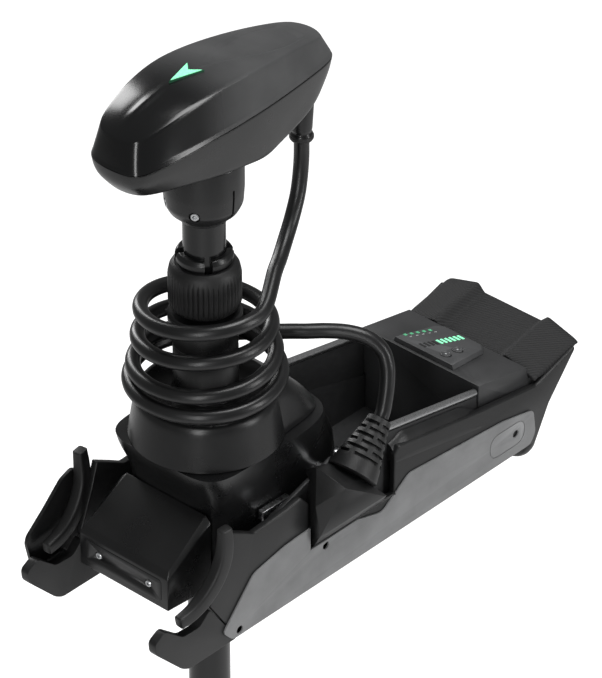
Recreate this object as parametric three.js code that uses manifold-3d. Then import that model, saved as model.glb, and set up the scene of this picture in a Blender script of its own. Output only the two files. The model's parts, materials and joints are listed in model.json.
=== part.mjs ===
// Bow-mount electric trolling motor: deck mount with a tilting steering tower, a clamped
// shaft that slides and steers, a display head on top and the drive unit at the bottom.
// Millimetres, +Z up. The origin is the centre of the deck face; -Y points over the bow.
import * as THREE from 'three';
import { mergeVertices } from 'three/addons/utils/BufferGeometryUtils.js';
import { ConvexGeometry } from 'three/addons/geometries/ConvexGeometry.js';
import Module from 'manifold-3d';

// ---------------------------------------------------------------- driving dimensions
// All Y values below are measured from the shaft axis; the whole object is shifted once.
const DECK_CENTRE_Y = 155;      // centre of the deck face, behind the shaft axis
const TOUCH_GAP = 0.3;          // between two pieces that rest on each other
const RUN_GAP = 0.4;            // running clearance of a turning or sliding fit

const SHAFT_R = 19;
const SHAFT_WALL = 3;
const SHAFT_TOP_Z = 434;
const POD_Z = -830;             // height of the drive unit's axis at the lowest depth setting

const CHANNEL_HALF = 68;        // inner half width between the channel's side walls
const CHANNEL_WALL = 4;
const FLOOR_T = 6;
const BASE_FRONT_Y = -46;
const BASE_REAR_Y = 356;
const FLOOR_FRONT_Y = 34;       // the floor stays clear of the shaft as it swings forward
const RAIL_R = 3.6;
const RAIL_Z = 142.6;           // rail height extrapolated to the shaft axis
const RAIL_SLOPE = 0.192;       // the rails fall towards the stern
const RAIL_FRONT_Y = 140;
const RAIL_REAR_Y = 283;
const PANEL_T = 7;              // side panel, outside the channel wall
const ACCENT_T = 1.6;
const ACCENT_HOLE_R = 4;
const ACCENT_HOLES = [[-49, 9], [64, 40], [326, 26]];     // (y, z)
const PIVOT_Y = 85;             // stow pivot of the tower
const PIVOT_Z = 100;
const PIN_R = 6;

const BUMPER_WIDTH = 12;
const BUMPER_DEPTH = 14;
const BUMPER_ROUTE = [
  [81, -123, 56], [82, -108, 59], [83, -93, 67], [84.5, -79, 82], [86, -71, 101], [87.5, -70, 119],
  [88, -71, 133],
];
const WING_OUT = 11.9;          // from the side panel out to the guard plate of the left hook
const WING_T = 3.5;

const BOSS_FRONT_Y = 44;        // boss of the cable boot, saddled over the right wall
const BOSS_REAR_Y = 158;
const BOSS_BOTTOM_Z = 46;
const BOOT_BASE = new THREE.Vector3(89, 93, 105);
const BOOT_TOP = new THREE.Vector3(84, 136, 141);
const BOOT_BASE_R = 24;
const BOOT_TOP_R = 11;
const BOOT_SKIRT = 12;          // plain lower part of the boot
const BOOT_RIBS = 4;

const HOUSING_FRONT_Y = 286;
const HOUSING_HALF = 72;
const HOUSING_WALL = 3.5;
const HOUSING_RISE = 6.3;       // top of the rear housing above the rail line
const DISPLAY_RISE = 5;
const BUTTON_R = 5;
const BUTTON_RISE = 1.5;
const BUTTONS = [[17, 303], [17.5, 319]];                 // (x, y)
const BOARD_T = 1.6;
const PAD_HALF = 80;
const PAD_FRONT_Y = 357;
const PAD_REAR_Y = 419;
const PAD_BOTTOM_Z = 67.5;
const PAD_FRONT_Z = 82;         // top of the pad beside its scoop
const PAD_REAR_Z = 94;
const PAD_FALL = 10.5;          // from beside the scoop to the outer edge
const SCOOP_HALF = 38;
const SCOOP_FLOOR = 8;          // depth of the scoop

const TOWER_HALF = 56;          // half width of the tower between the walls
const DRUM_R = 70;              // round upper body of the tower, at its lower edge
const DRUM_TOP_R = 63;
const DRUM_Z = 160;
const TOWER_TOP_Z = 205;
const NOSE_HALF = 54;
const NOSE_FRONT_Y = -108;
const NOSE_REAR_Y = -52.3;
const NOSE_SCREW_R = 3.4;
const NOSE_SCREWS = [[30.3, 65], [-30.3, 65]];            // (x, z)
const LATCH_FRONT_Y = 4;
const LATCH_REAR_Y = 40;
const LATCH_X = [TOWER_HALF + 1.6, CHANNEL_HALF - 4];

const SLEEVE_WALL = 9.6;
const SLEEVE_BOTTOM_Z = 120;
const FLANGE_Z = 278;
const FLANGE_T = 11;
const COLLET_WALL = 4.1;
const COLLET_TOP_Z = 351;
const COLLET_SLOT = 7;
const KNOB_R = 32.4;
const KNOB_BOTTOM_Z = 293;
const KNOB_TOP_Z = 339;
const GEAR_TEETH = 48;
const PINION_TEETH = 16;
const GEAR_MODULE = 1.6;
const GEAR_T = 12;
const GEAR_Z = 134;
const MOTOR_R = 17;
const MOTOR_Y = (GEAR_MODULE * (GEAR_TEETH + PINION_TEETH)) / 2;

const CABLE_R = 7;              // coil cable
const COIL_TOP_R = 59;          // centreline radius of the first turn
const COIL_BOTTOM_R = 71.4;
const COIL_TOP_Z = 300;
const COIL_BOTTOM_Z = 216;

const DROP_POINTS = [
  [0, 124, 404.6], [0, 124, 388], [0.6, 122, 372], [3, 116, 354], [8, 103, 337], [16, 85, 324],
  [25, 68, 317.5], [32, 55, 315],
];
const TAIL_POINTS = [
  [-9, 88.5, 216], [3, 100, 216], [16, 112, 216], [29, 125, 216], [45, 138, 215], [60, 148, 210],
  [71, 153, 200], [77, 152.5, 188], [80, 150, 175], [82, 146, 162], [83.5, 140.5, 147], [84.2, 137, 142.2],
];

const SEAM_Z = 488;             // joint plane of the head's two shells
const HEAD_WALL = 3;
const HEAD_SEAM = [             // half outline at the joint, (half width, y)
  [22, -112], [28, -104], [36, -80], [41, -50], [43, -20], [42, 15], [38, 55], [32, 95], [25, 130], [18, 147],
];
const HEAD_CREASE = [           // edge between the top and the sides, (half width, y, z)
  [19, -106, 514], [27, -88, 519], [35, -62, 527], [39.5, -15, 534], [37, 25, 530], [29, 80, 523],
  [21, 130, 514],
];
const HEAD_RIDGE = [
  [8, -98, 520], [12, -60, 533], [14, -15, 537], [12, 30, 534], [9, 90, 526], [6, 132, 516],
];
const HEAD_BELLY = [
  [17, -96, 460], [30, -70, 455], [36, -28, 450], [36, 18, 443], [31, 50, 435], [26, 108, 446],
  [20, 134, 460],
];
const LENS_T = 1.5;
const LENS_REAR_Y = 6;
const ARROW_TIP_Y = -38;
const ARROW_WING = [8.4, -9.2];
const ARROW_NOTCH_Y = -17;
const COLLAR_R = 35.5;
const COLLAR_BOTTOM_Z = 384;
const COLLAR_SCREWS = [(-60 * Math.PI) / 180, (-120 * Math.PI) / 180];
const COLLAR_SCREW_Z = COLLAR_BOTTOM_Z + 19;
const COLLAR_SCREW_R = 3.5;
const COLLAR_SCREW_SEAT = COLLAR_R - 5;
const GLAND_Y = 124;
const GLAND_R = 10.3;
const GLAND_HOLE_R = 8.5;
const GLAND_BOTTOM_Z = 405;

const POD_R = 45;
const POD_FRONT_Y = -118;
const POD_REAR_Y = 128;
const POD_WALL = 5;
const PROP_R = 130;
const PROP_SHAFT_R = 6;
const HUB_R = 30;
const HUB_FRONT_Y = POD_REAR_Y + 20;
const HUB_LENGTH = 58;
const BLADES = 3;

const POWER_R = 6;              // power cable
const POWER_COIL_R = 60;
const POWER_TURNS = 2;
const POWER_COIL_Z = -32;       // top of the coil
const COIL_CENTRE = [-50, 312];
const POWER_POINTS = [
  [60, 373.1, 12.5], [60, 376, 8.6], [60, 377.5, 0], [59.5, 378, -12], [56, 378, -26], [47, 378, -37],
  [33, 377.5, -42], [15, 376.5, -41], [-8, 375.3, -38.5],
];
const TAIL_END_POINTS = [[-103, 344, -63.4], [-108, 331, -64.6], [-110, 318.5, -67]];
const POWER_GLAND_R = 9;
const PLUG_R = 12;
const PLUG_LENGTH = 48;

// ---------------------------------------------------------------- colours
const LOOKS = {
  black: { color: 0x1d1e1f, roughness: 0.55, metalness: 0.0 },
  gloss: { color: 0x0c0d0e, roughness: 0.15, metalness: 0.0 },
  grey: { color: 0x4b4c4e, roughness: 0.6, metalness: 0.0 },
  accent: { color: 0x7c7d7f, roughness: 0.5, metalness: 0.0 },
  rail: { color: 0x9a9c9e, roughness: 0.35, metalness: 0.9 },
  steel: { color: 0xc4c6c8, roughness: 0.3, metalness: 1.0 },
  brass: { color: 0xb08d4a, roughness: 0.4, metalness: 1.0 },
  copper: { color: 0xa8603a, roughness: 0.45, metalness: 0.8 },
  rubber: { color: 0x18191a, roughness: 0.9, metalness: 0.0 },
  board: { color: 0x1f5a38, roughness: 0.6, metalness: 0.0 },
  green: { color: 0x7ff0b0, roughness: 0.4, metalness: 0.0 },
};
const MATERIALS = {};
for (const [name, look] of Object.entries(LOOKS)) {
  MATERIALS[name] = new THREE.MeshStandardMaterial(look);
}

// ---------------------------------------------------------------- geometry helpers
const wasm = await Module();
wasm.setup();

// A closed mesh as a solid that can be joined and cut.
function toSolid(geometry) {
  const bare = geometry.index ? geometry.toNonIndexed() : geometry.clone();
  bare.deleteAttribute('normal');
  bare.deleteAttribute('uv');
  const merged = mergeVertices(bare, 1e-4);
  const triangles = [];
  for (let i = 0; i < merged.index.count; i += 3) {
    const [a, b, c] = [0, 1, 2].map((k) => merged.index.getX(i + k));
    if (a !== b && b !== c && c !== a) triangles.push(a, b, c);
  }
  return new wasm.Manifold(new wasm.Mesh({
    numProp: 3,
    vertProperties: new Float32Array(merged.attributes.position.array),
    triVerts: new Uint32Array(triangles),
  }));
}

function toGeometry(solid) {
  const mesh = solid.getMesh();
  const geometry = new THREE.BufferGeometry();
  geometry.setAttribute('position', new THREE.BufferAttribute(mesh.vertProperties, 3));
  geometry.setIndex(new THREE.BufferAttribute(mesh.triVerts, 1));
  return geometry;
}

function join(first, ...others) {
  return toGeometry(others.reduce((sum, g) => sum.add(toSolid(g)), toSolid(first)));
}

function cut(first, ...others) {
  return toGeometry(others.reduce((rest, g) => rest.subtract(toSolid(g)), toSolid(first)));
}

function common(first, second) {
  return toGeometry(toSolid(first).intersect(toSolid(second)));
}

function box(x0, x1, y0, y1, z0, z1) {
  const geometry = new THREE.BoxGeometry(x1 - x0, y1 - y0, z1 - z0);
  return geometry.translate((x0 + x1) / 2, (y0 + y1) / 2, (z0 + z1) / 2);
}

// An outline with its corners rounded by the given radius (0 leaves them sharp).
function rounded(points, radius = 0) {
  const shape = new THREE.Shape();
  const corners = points.map(([u, v]) => new THREE.Vector2(u, v));
  corners.forEach((corner, i) => {
    const before = corners[(i + corners.length - 1) % corners.length];
    const after = corners[(i + 1) % corners.length];
    const reach = Math.min(radius, corner.distanceTo(before) / 2, corner.distanceTo(after) / 2);
    const from = corner.clone().lerp(before, reach / corner.distanceTo(before));
    const to = corner.clone().lerp(after, reach / corner.distanceTo(after));
    if (i === 0) shape.moveTo(from.x, from.y);
    else shape.lineTo(from.x, from.y);
    if (reach > 0) shape.quadraticCurveTo(corner.x, corner.y, to.x, to.y);
  });
  shape.closePath();
  return shape;
}

function extrude(shape, depth, curveSegments = 4) {
  return new THREE.ExtrudeGeometry(shape, { depth, bevelEnabled: false, curveSegments });
}

// Prisms: prismX takes (y, z) points, prismY takes (x, z) points, prismZ takes (x, y) points.
const TURN_X = new THREE.Matrix4().makeBasis(
  new THREE.Vector3(0, 1, 0), new THREE.Vector3(0, 0, 1), new THREE.Vector3(1, 0, 0));
const TURN_Y = new THREE.Matrix4().makeBasis(
  new THREE.Vector3(1, 0, 0), new THREE.Vector3(0, 0, 1), new THREE.Vector3(0, -1, 0));

function prismX(points, x0, x1, radius = 0) {
  return extrude(rounded(points, radius), x1 - x0).applyMatrix4(TURN_X).translate(x0, 0, 0);
}

function prismY(points, y0, y1, radius = 0) {
  return extrude(rounded(points, radius), y1 - y0).applyMatrix4(TURN_Y).translate(0, y1, 0);
}

function prismZ(points, z0, z1, radius = 0) {
  return extrude(rounded(points, radius), z1 - z0).translate(0, 0, z0);
}

// A body turned about Z from (radius, z) points; the profile closes on itself.
function turned(profile, segments = 32) {
  const points = [...profile, profile[0]].map(([r, z]) => new THREE.Vector2(r, z));
  return new THREE.LatheGeometry(points, segments).rotateX(Math.PI / 2);
}

function ring(inner, outer, z0, z1, segments = 32) {
  return turned([[inner, z0], [outer, z0], [outer, z1], [inner, z1]], segments);
}

function cylinder(radius, z0, z1, segments = 24) {
  const body = new THREE.CylinderGeometry(radius, radius, z1 - z0, segments);
  return body.rotateX(Math.PI / 2).translate(0, 0, (z0 + z1) / 2);
}

// A cylinder between two points.
function rod(from, to, radius, segments = 16) {
  const [a, b] = [new THREE.Vector3(...from), new THREE.Vector3(...to)];
  const body = cylinder(radius, 0, a.distanceTo(b), segments);
  const up = new THREE.Vector3(0, 0, 1);
  const turn = new THREE.Quaternion().setFromUnitVectors(up, b.clone().sub(a).normalize());
  return body.applyQuaternion(turn).translate(a.x, a.y, a.z);
}

// A tube or bar swept along a smooth curve through the points.
function sweep(points, section, steps) {
  const path = new THREE.CatmullRomCurve3(points.map((p) => new THREE.Vector3(...p)));
  return new THREE.ExtrudeGeometry(section, { steps, extrudePath: path, curveSegments: 2 });
}

function polygon(radius, sides) {
  const points = [];
  for (let i = 0; i < sides; i += 1) {
    const angle = ((i + 0.5) / sides) * 2 * Math.PI;
    points.push([radius * Math.cos(angle), radius * Math.sin(angle)]);
  }
  return rounded(points);
}

// The smallest solid around several outlines, each a list of (x, y, z) points.
function hull(...outlines) {
  return new ConvexGeometry(outlines.flat().map((p) => new THREE.Vector3(...p)));
}

// A half outline of (half width, y) pairs mirrored in X, at the height z(y).
function mirrored(half, height) {
  const level = typeof height === 'function' ? height : () => height;
  return half.flatMap(([x, y]) => [[x, y, level(y)], [-x, y, level(y)]]);
}

// A spur gear around Z with straight-sided teeth.
function gear(teeth, module, z0, z1, bore) {
  const points = [];
  const [tip, root] = [(teeth / 2 + 0.85) * module, (teeth / 2 - 1.1) * module];
  for (let i = 0; i < teeth; i += 1) {
    const pitch = (2 * Math.PI) / teeth;
    [[root, -0.3], [tip, -0.13], [tip, 0.13], [root, 0.3]].forEach(([r, share]) => {
      const angle = (i + share) * pitch;
      points.push([r * Math.cos(angle), r * Math.sin(angle)]);
    });
  }
  const body = prismZ(points, z0, z1);
  return bore > 0 ? cut(body, cylinder(bore, z0 - 1, z1 + 1, 32)) : body;
}

const railZ = (y) => RAIL_Z - RAIL_SLOPE * y;
const WALL_OUTER = CHANNEL_HALF + CHANNEL_WALL;
const PANEL_INNER = WALL_OUTER + RAIL_R;
const PANEL_OUTER = PANEL_INNER + PANEL_T;
const WING_X = PANEL_OUTER + WING_OUT;
const SLEEVE_BORE = SHAFT_R + RUN_GAP;
const SLEEVE_R = SLEEVE_BORE + SLEEVE_WALL;

// ---------------------------------------------------------------- assembly groups
const trollingMotor = new THREE.Group();
const atShaft = new THREE.Group();
atShaft.position.y = -DECK_CENTRE_Y;
trollingMotor.add(atShaft);
const [base, tower, steering, shaft, propulsion] = [0, 1, 2, 3, 4].map(() => {
  const group = new THREE.Group();
  atShaft.add(group);
  return group;
});

function piece(group, name, geometry, look, place = [0, 0, 0]) {
  const mesh = new THREE.Mesh(geometry, MATERIALS[look]);
  mesh.name = name;
  mesh.position.set(...place);
  group.add(mesh);
  return mesh;
}

const SIDES = [['right', 1], ['left', -1]];

// Mirrors a geometry in X and keeps its faces pointing out.
function toSide(geometry, side) {
  if (side > 0) return geometry;
  const solid = toSolid(geometry).mirror([1, 0, 0]);
  return toGeometry(solid);
}

// ---------------------------------------------------------------- deck mount
const wallTop = (y) => railZ(y) - RAIL_R - TOUCH_GAP;

function wallOutline() {
  return [
    [BASE_FRONT_Y, 0], [BASE_REAR_Y, 0], [BASE_REAR_Y, 42], [RAIL_REAR_Y + 2, 42],
    [RAIL_REAR_Y, wallTop(RAIL_REAR_Y)], [RAIL_FRONT_Y, wallTop(RAIL_FRONT_Y)],
    [PIVOT_Y, PIVOT_Z + 3 * PIN_R], [10, 96], [-26, 84],
  ];
}

function makeChannel() {
  const floor = box(-WALL_OUTER, WALL_OUTER, FLOOR_FRONT_Y, BASE_REAR_Y, 0, FLOOR_T);
  const solids = [floor];
  for (const [, side] of SIDES) {
    const x0 = side > 0 ? CHANNEL_HALF : -WALL_OUTER;
    solids.push(prismX(wallOutline(), x0, x0 + CHANNEL_WALL));
  }
  const pinHole = rod([-100, PIVOT_Y, PIVOT_Z], [100, PIVOT_Y, PIVOT_Z], PIN_R + TOUCH_GAP);
  return cut(join(...solids), pinHole, bootRoom());
}

// The bright bead along the top of one wall.
function makeRail(side) {
  const x = side * (CHANNEL_HALF + CHANNEL_WALL / 2);
  const ends = [RAIL_FRONT_Y, RAIL_REAR_Y].map((y) => [x, y, railZ(y)]);
  return cut(rod(ends[0], ends[1], RAIL_R, 12), bootRoom());
}

// Room for the cable boot, which stands over the right-hand wall.
function bootRoom() {
  const axis = BOOT_TOP.clone().sub(BOOT_BASE).normalize();
  const from = BOOT_BASE.clone().addScaledVector(axis, -TOUCH_GAP);
  const to = from.clone().addScaledVector(axis, 60);
  return rod(from.toArray(), to.toArray(), BOOT_BASE_R + TOUCH_GAP, 24);
}

function panelOutline() {
  const padEdge = PAD_BOTTOM_Z - 4;
  return [
    [BASE_FRONT_Y - 4, 0], [358, 0], [376, 35], [411, 77], [411.5, 80], [PAD_FRONT_Y, padEdge],
    [RAIL_REAR_Y, railZ(RAIL_REAR_Y) - 14], [165, railZ(165) - 16], [150, 80], [50, 88], [34, 107],
    [15, 104], [-28, 102], [-40, 109], [-62, 121], [-69, 97], [-84, 58], [-84, 52],
  ];
}

// Room in the right-hand panels for the boss.
function bossRoom() {
  return box(0, 200, BOSS_FRONT_Y - TOUCH_GAP, BOSS_REAR_Y + TOUCH_GAP, BOSS_BOTTOM_Z - TOUCH_GAP, 300);
}

function accentOutline() {
  return [
    [-58, 3], [348, 3], [355, 14], [351, 40], [308, 49], [177, 60], [141, 36], [112, 44], [64, 60],
    [46, 70], [11, 68], [-30, 60], [-70, 16],
  ];
}

function hookOutline() {
  return [
    [-50.5, 0], [-112, 0], [-121, 5], [-153, 38], [-154, 50], [-141, 57], [-119, 39], [-98, 38], [-84.8, 50],
  ];
}

function makeHook(side) {
  const hook = prismX(hookOutline(), PANEL_INNER - 2, PANEL_OUTER, 4);
  if (side > 0) return hook;
  const plate = prismX(
    [[-50, 14], [-95, 12], [-122, 14], [-130, 41], [-134, 59], [-132, 66], [-110, 85], [-88, 106], [-75, 111],
      [-62, 104], [-52, 70]],
    WING_X, WING_X + WING_T, 3);
  const arm = box(PANEL_OUTER - 1, WING_X + 1, -118, -88, 14, 30);
  return join(hook, plate, arm);
}

// Curved rib above each hook, clear of the side panel.
function makeBumper() {
  const [u, v] = [BUMPER_DEPTH / 2, BUMPER_WIDTH / 2];
  return sweep(BUMPER_ROUTE, rounded([[-v, -u], [v, -u], [v, u], [-v, u]]), 14);
}

function makeBoss() {
  const inner = CHANNEL_HALF - 6.5;
  const [front, rear] = [BOSS_FRONT_Y + 6, BOSS_REAR_Y - 8];
  const body = hull(
    [[inner, 62, 88], [inner, 62, 114], [inner, 124, 88], [inner, 124, 96]],
    [[inner + 4, 54, 88], [112, 60, 118], [112, 112, 82], [80, 56, 128]],
    [[96, BOSS_FRONT_Y, 66], [90, BOSS_FRONT_Y, 96], [92, BOSS_REAR_Y, 60], [76, BOSS_REAR_Y, 84]],
    [[PANEL_OUTER, front, BOSS_BOTTOM_Z], [PANEL_OUTER, rear, BOSS_BOTTOM_Z]],
    [[inner, 130, 88], [PANEL_INNER, front, BOSS_BOTTOM_Z], [PANEL_INNER, rear, BOSS_BOTTOM_Z]],
  );
  const wallRoom = prismX(
    [[-60, -10], [300, -10], [300, railZ(300)], [RAIL_FRONT_Y - 4, railZ(RAIL_FRONT_Y) + RAIL_R + 1],
      [PIVOT_Y, PIVOT_Z + 3 * PIN_R + TOUCH_GAP], [10, 96 + TOUCH_GAP], [-60, 84]],
    CHANNEL_HALF - 100, WALL_OUTER + TOUCH_GAP);
  const railRoom = box(0, PANEL_INNER, RAIL_FRONT_Y - 1, 300, 0, 300);
  const axis = BOOT_TOP.clone().sub(BOOT_BASE).normalize();
  const seat = BOOT_BASE.clone().addScaledVector(axis, -TOUCH_GAP);
  const above = rod(seat.toArray(), seat.clone().addScaledVector(axis, 80).toArray(), 90, 24);
  const below = box(0, WALL_OUTER + TOUCH_GAP, -60, 300, -10, PIVOT_Z - 40);
  return cut(body, wallRoom, railRoom, above, below);
}

// Ribbed strain relief, turned about its own axis and leaned over.
function makeBoot() {
  const length = BOOT_BASE.distanceTo(BOOT_TOP);
  const bore = CABLE_R + TOUCH_GAP;
  const profile = [[bore, 0], [BOOT_BASE_R, 0], [BOOT_BASE_R, BOOT_SKIRT]];
  const coneStart = BOOT_SKIRT / 2;
  const taper = (BOOT_TOP_R - BOOT_BASE_R) / (length - coneStart);
  const radius = (height) => BOOT_BASE_R + taper * (height - coneStart);
  for (let i = 0; i < BOOT_RIBS; i += 1) {
    const z = BOOT_SKIRT + ((length - BOOT_SKIRT) * i) / BOOT_RIBS;
    const next = BOOT_SKIRT + ((length - BOOT_SKIRT) * (i + 1)) / BOOT_RIBS;
    profile.push([radius(z) - 3, z], [radius(z) - 3, z + 2.5], [radius(z), z + 2.5], [radius(next), next]);
  }
  profile.push([bore, length]);
  const up = new THREE.Vector3(0, 0, 1);
  const turn = new THREE.Quaternion().setFromUnitVectors(up, BOOT_TOP.clone().sub(BOOT_BASE).normalize());
  return turned(profile, 24).applyQuaternion(turn).translate(...BOOT_BASE.toArray());
}

function housingOutline(inset) {
  const top = (y) => railZ(y) + HOUSING_RISE - inset;
  const bottom = FLOOR_T + TOUCH_GAP - inset * 2;
  return [
    [HOUSING_FRONT_Y + inset, bottom], [BASE_REAR_Y + 1 - inset, bottom],
    [374 - inset, 31], [400 - inset, 67 - inset], [PAD_FRONT_Y - TOUCH_GAP, 67 - inset],
    [PAD_FRONT_Y - 4, top(PAD_FRONT_Y - 4)],
    [HOUSING_FRONT_Y + inset, top(HOUSING_FRONT_Y)],
  ];
}

function makeRearHousing() {
  const shell = prismX(housingOutline(0), -HOUSING_HALF, HOUSING_HALF);
  const inside = prismX(housingOutline(HOUSING_WALL), 5 - CHANNEL_HALF, CHANNEL_HALF - 5);
  const wallSlots = SIDES.map(([, side]) => {
    const x = side * (CHANNEL_HALF + CHANNEL_WALL / 2);
    const half = CHANNEL_WALL / 2 + 1;
    return box(x - half, x + half, HOUSING_FRONT_Y - 5, BASE_REAR_Y + TOUCH_GAP, 0, 42 + 2);
  });
  const topZ = (y) => railZ(y) + HOUSING_RISE;
  const buttonHoles = BUTTONS.map(([x, y]) => (
    rod([x, y, topZ(y) - 20], [x, y, topZ(y) + 20], BUTTON_R + RUN_GAP, 20)));
  return cut(shell, inside, ...wallSlots, ...buttonHoles);
}

function displayOutline(lift, inset = 0) {
  const half = [[37 - inset, HOUSING_FRONT_Y + 5], [31 - inset, 340], [24 - inset, 349 - inset]];
  return mirrored(half, (y) => railZ(y) + HOUSING_RISE + lift);
}

function makeDisplay() {
  const body = hull(displayOutline(TOUCH_GAP), displayOutline(DISPLAY_RISE, 2));
  const holes = BUTTONS.map(([x, y]) => (
    rod([x, y, railZ(y) - 20], [x, y, railZ(y) + 40], BUTTON_R + RUN_GAP, 20)));
  return cut(body, ...holes);
}

function makeButton([x, y]) {
  const top = railZ(y) + HOUSING_RISE + DISPLAY_RISE + BUTTON_RISE;
  return rod([x, y, top - 12], [x, y, top], BUTTON_R, 20);
}

function makePad() {
  const body = hull(...[[PAD_FRONT_Y, PAD_FRONT_Z], [PAD_REAR_Y, PAD_REAR_Z]].map(([y, z]) => [
    [SCOOP_HALF + 6, y, z], [-SCOOP_HALF - 6, y, z],
    [PAD_HALF, y, z - PAD_FALL], [-PAD_HALF, y, z - PAD_FALL],
  ]), [PAD_FRONT_Y, 401].flatMap((y) => [[PAD_HALF, y, PAD_BOTTOM_Z], [-PAD_HALF, y, PAD_BOTTOM_Z]]));
  const scoopEnd = (y, top) => [
    [SCOOP_HALF - 4, y, top - SCOOP_FLOOR], [4 - SCOOP_HALF, y, top - SCOOP_FLOOR],
    [SCOOP_HALF + 6, y, top + 20], [-SCOOP_HALF - 6, y, top + 20],
  ];
  const scoop = hull(scoopEnd(PAD_FRONT_Y - 5, PAD_FRONT_Z), scoopEnd(PAD_REAR_Y + 5, PAD_REAR_Z));
  const grown = panelOutline().map(([y, z]) => [y + TOUCH_GAP, z + TOUCH_GAP]);
  const right = prismX(grown, PANEL_INNER - TOUCH_GAP, PAD_HALF + 5);
  return cut(body, scoop, right, toSide(right, -1));
}

function makeSides() {
  for (const [name, side] of SIDES) {
    piece(base, `rail_${name}`, makeRail(side), 'rail');
    const plain = prismX(panelOutline(), PANEL_INNER, PANEL_OUTER);
    const panel = side > 0 ? cut(plain, bossRoom()) : plain;
    piece(base, `side_panel_${name}`, toSide(panel, side), 'black');
    const screwHoles = ACCENT_HOLES.map(([y, z]) => rod([0, y, z], [120, y, z], ACCENT_HOLE_R, 16));
    const face = PANEL_OUTER + TOUCH_GAP;
    const plate = prismX(accentOutline(), face, face + ACCENT_T, 5);
    const accent = cut(plate, ...screwHoles, ...(side > 0 ? [bossRoom()] : []));
    piece(base, `accent_panel_${name}`, toSide(accent, side), 'accent');
    piece(base, `ramp_hook_${name}`, toSide(makeHook(side), side), 'black');
    piece(base, `ramp_bumper_${name}`, toSide(cut(makeBumper(), panelRoom()), side), 'rubber');
  }
}

function makeBase() {
  piece(base, 'base_channel', makeChannel(), 'rail');
  makeSides();
  piece(base, 'stow_latch', makeLatch(), 'steel');
  piece(base, 'cable_boss', makeBoss(), 'black');
  piece(base, 'cable_boot', makeBoot(), 'rubber');
  piece(base, 'coil_cable_tail', sweep(TAIL_POINTS, polygon(CABLE_R, 10), 16), 'rubber');
  piece(base, 'rear_housing', makeRearHousing(), 'black');
  piece(base, 'display_panel', makeDisplay(), 'gloss');
  BUTTONS.forEach((place, i) => {
    piece(base, `display_button_${i + 1}`, makeButton(place), 'grey');
  });
  const boardZ = railZ(340) + HOUSING_RISE - HOUSING_WALL - 22;
  piece(base, 'display_board', box(-36, 36, 296, 344, boardZ, boardZ + BOARD_T), 'board');
  piece(base, 'foot_pad', makePad(), 'rubber');
  const pinHalf = CHANNEL_HALF + CHANNEL_WALL;
  piece(base, 'tilt_pin', rod([-pinHalf, PIVOT_Y, PIVOT_Z], [pinHalf, PIVOT_Y, PIVOT_Z], PIN_R, 24), 'steel');
}

// Slotted bar beside the tower that locks it upright; its tooth slides out of the tower's notch.
function makeLatch() {
  const bar = box(LATCH_X[0], LATCH_X[1], LATCH_FRONT_Y, LATCH_REAR_Y, 88, 98);
  const slot = box(LATCH_X[0] - 2, LATCH_X[1] + 2, LATCH_FRONT_Y + 10, LATCH_REAR_Y - 8, 91, 95);
  return cut(bar, slot);
}

// Room kept around the side panel by the bumper beside it.
function panelRoom() {
  return prismX(panelOutline(), PANEL_INNER - 1, PANEL_OUTER + TOUCH_GAP);
}

// ---------------------------------------------------------------- steering tower
function towerOutside() {
  const column = turned(
    [[0, 118], [DRUM_R, 118], [DRUM_R, DRUM_Z], [DRUM_TOP_R, TOWER_TOP_Z], [0, TOWER_TOP_Z]], 48);
  const drum = cut(column, box(-100, 100, -100, 100, 100, DRUM_Z));
  const block = prismX(
    [[-52, 40], [20, 14], [96, 40], [132, 92], [127, 118], [110, 146], [90, 176], [66, 197],
      [30, TOWER_TOP_Z - 1], [-52, DRUM_Z]],
    -TOWER_HALF, TOWER_HALF, 6);
  const shoulders = hull(
    [[-48, -52, 30], [48, -52, 30], [-48, -52, 210], [48, -52, 210]],
    [[-TOWER_HALF, -30, 30], [TOWER_HALF, -30, 30], [-TOWER_HALF, -30, 210], [TOWER_HALF, -30, 210]],
    [[-TOWER_HALF, 140, 30], [TOWER_HALF, 140, 30]],
    [[-TOWER_HALF + 8, 140, 150], [TOWER_HALF - 8, 140, 150]],
    [[-TOWER_HALF, 60, 210], [TOWER_HALF, 60, 210], [-TOWER_HALF, 20, 10], [TOWER_HALF, 20, 10]],
    [[-36, 90, 210], [36, 90, 210]],
  );
  return join(drum, common(block, shoulders));
}

function makeTowerHousing() {
  const bore = cylinder(SLEEVE_R + RUN_GAP, SLEEVE_BOTTOM_Z - TOUCH_GAP, TOWER_TOP_Z + 5, 32);
  const shaftHole = cylinder(SHAFT_R + 3, 0, SLEEVE_BOTTOM_Z, 32);
  const gearRoom = cylinder(GEAR_MODULE * (GEAR_TEETH / 2 + 2), GEAR_Z - 2, GEAR_Z + GEAR_T + 2, 32);
  const motorRoom = rod([0, MOTOR_Y, 20], [0, MOTOR_Y, GEAR_Z + GEAR_T + 2], MOTOR_R + 1, 20);
  const belly = box(-TOWER_HALF + 5, TOWER_HALF - 5, -44, 118, 0, 66);
  const pinRoom = rod([-80, PIVOT_Y, PIVOT_Z], [80, PIVOT_Y, PIVOT_Z], PIN_R + RUN_GAP, 24);
  return cut(towerOutside(), bore, shaftHole, gearRoom, motorRoom, belly, pinRoom);
}

// A half outline of the nose cover mirrored in X: (half width, y, z) points.
const acrossNose = (points) => points.flatMap(([x, y, z]) => [[x, y, z], [-x, y, z]]);

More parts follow.
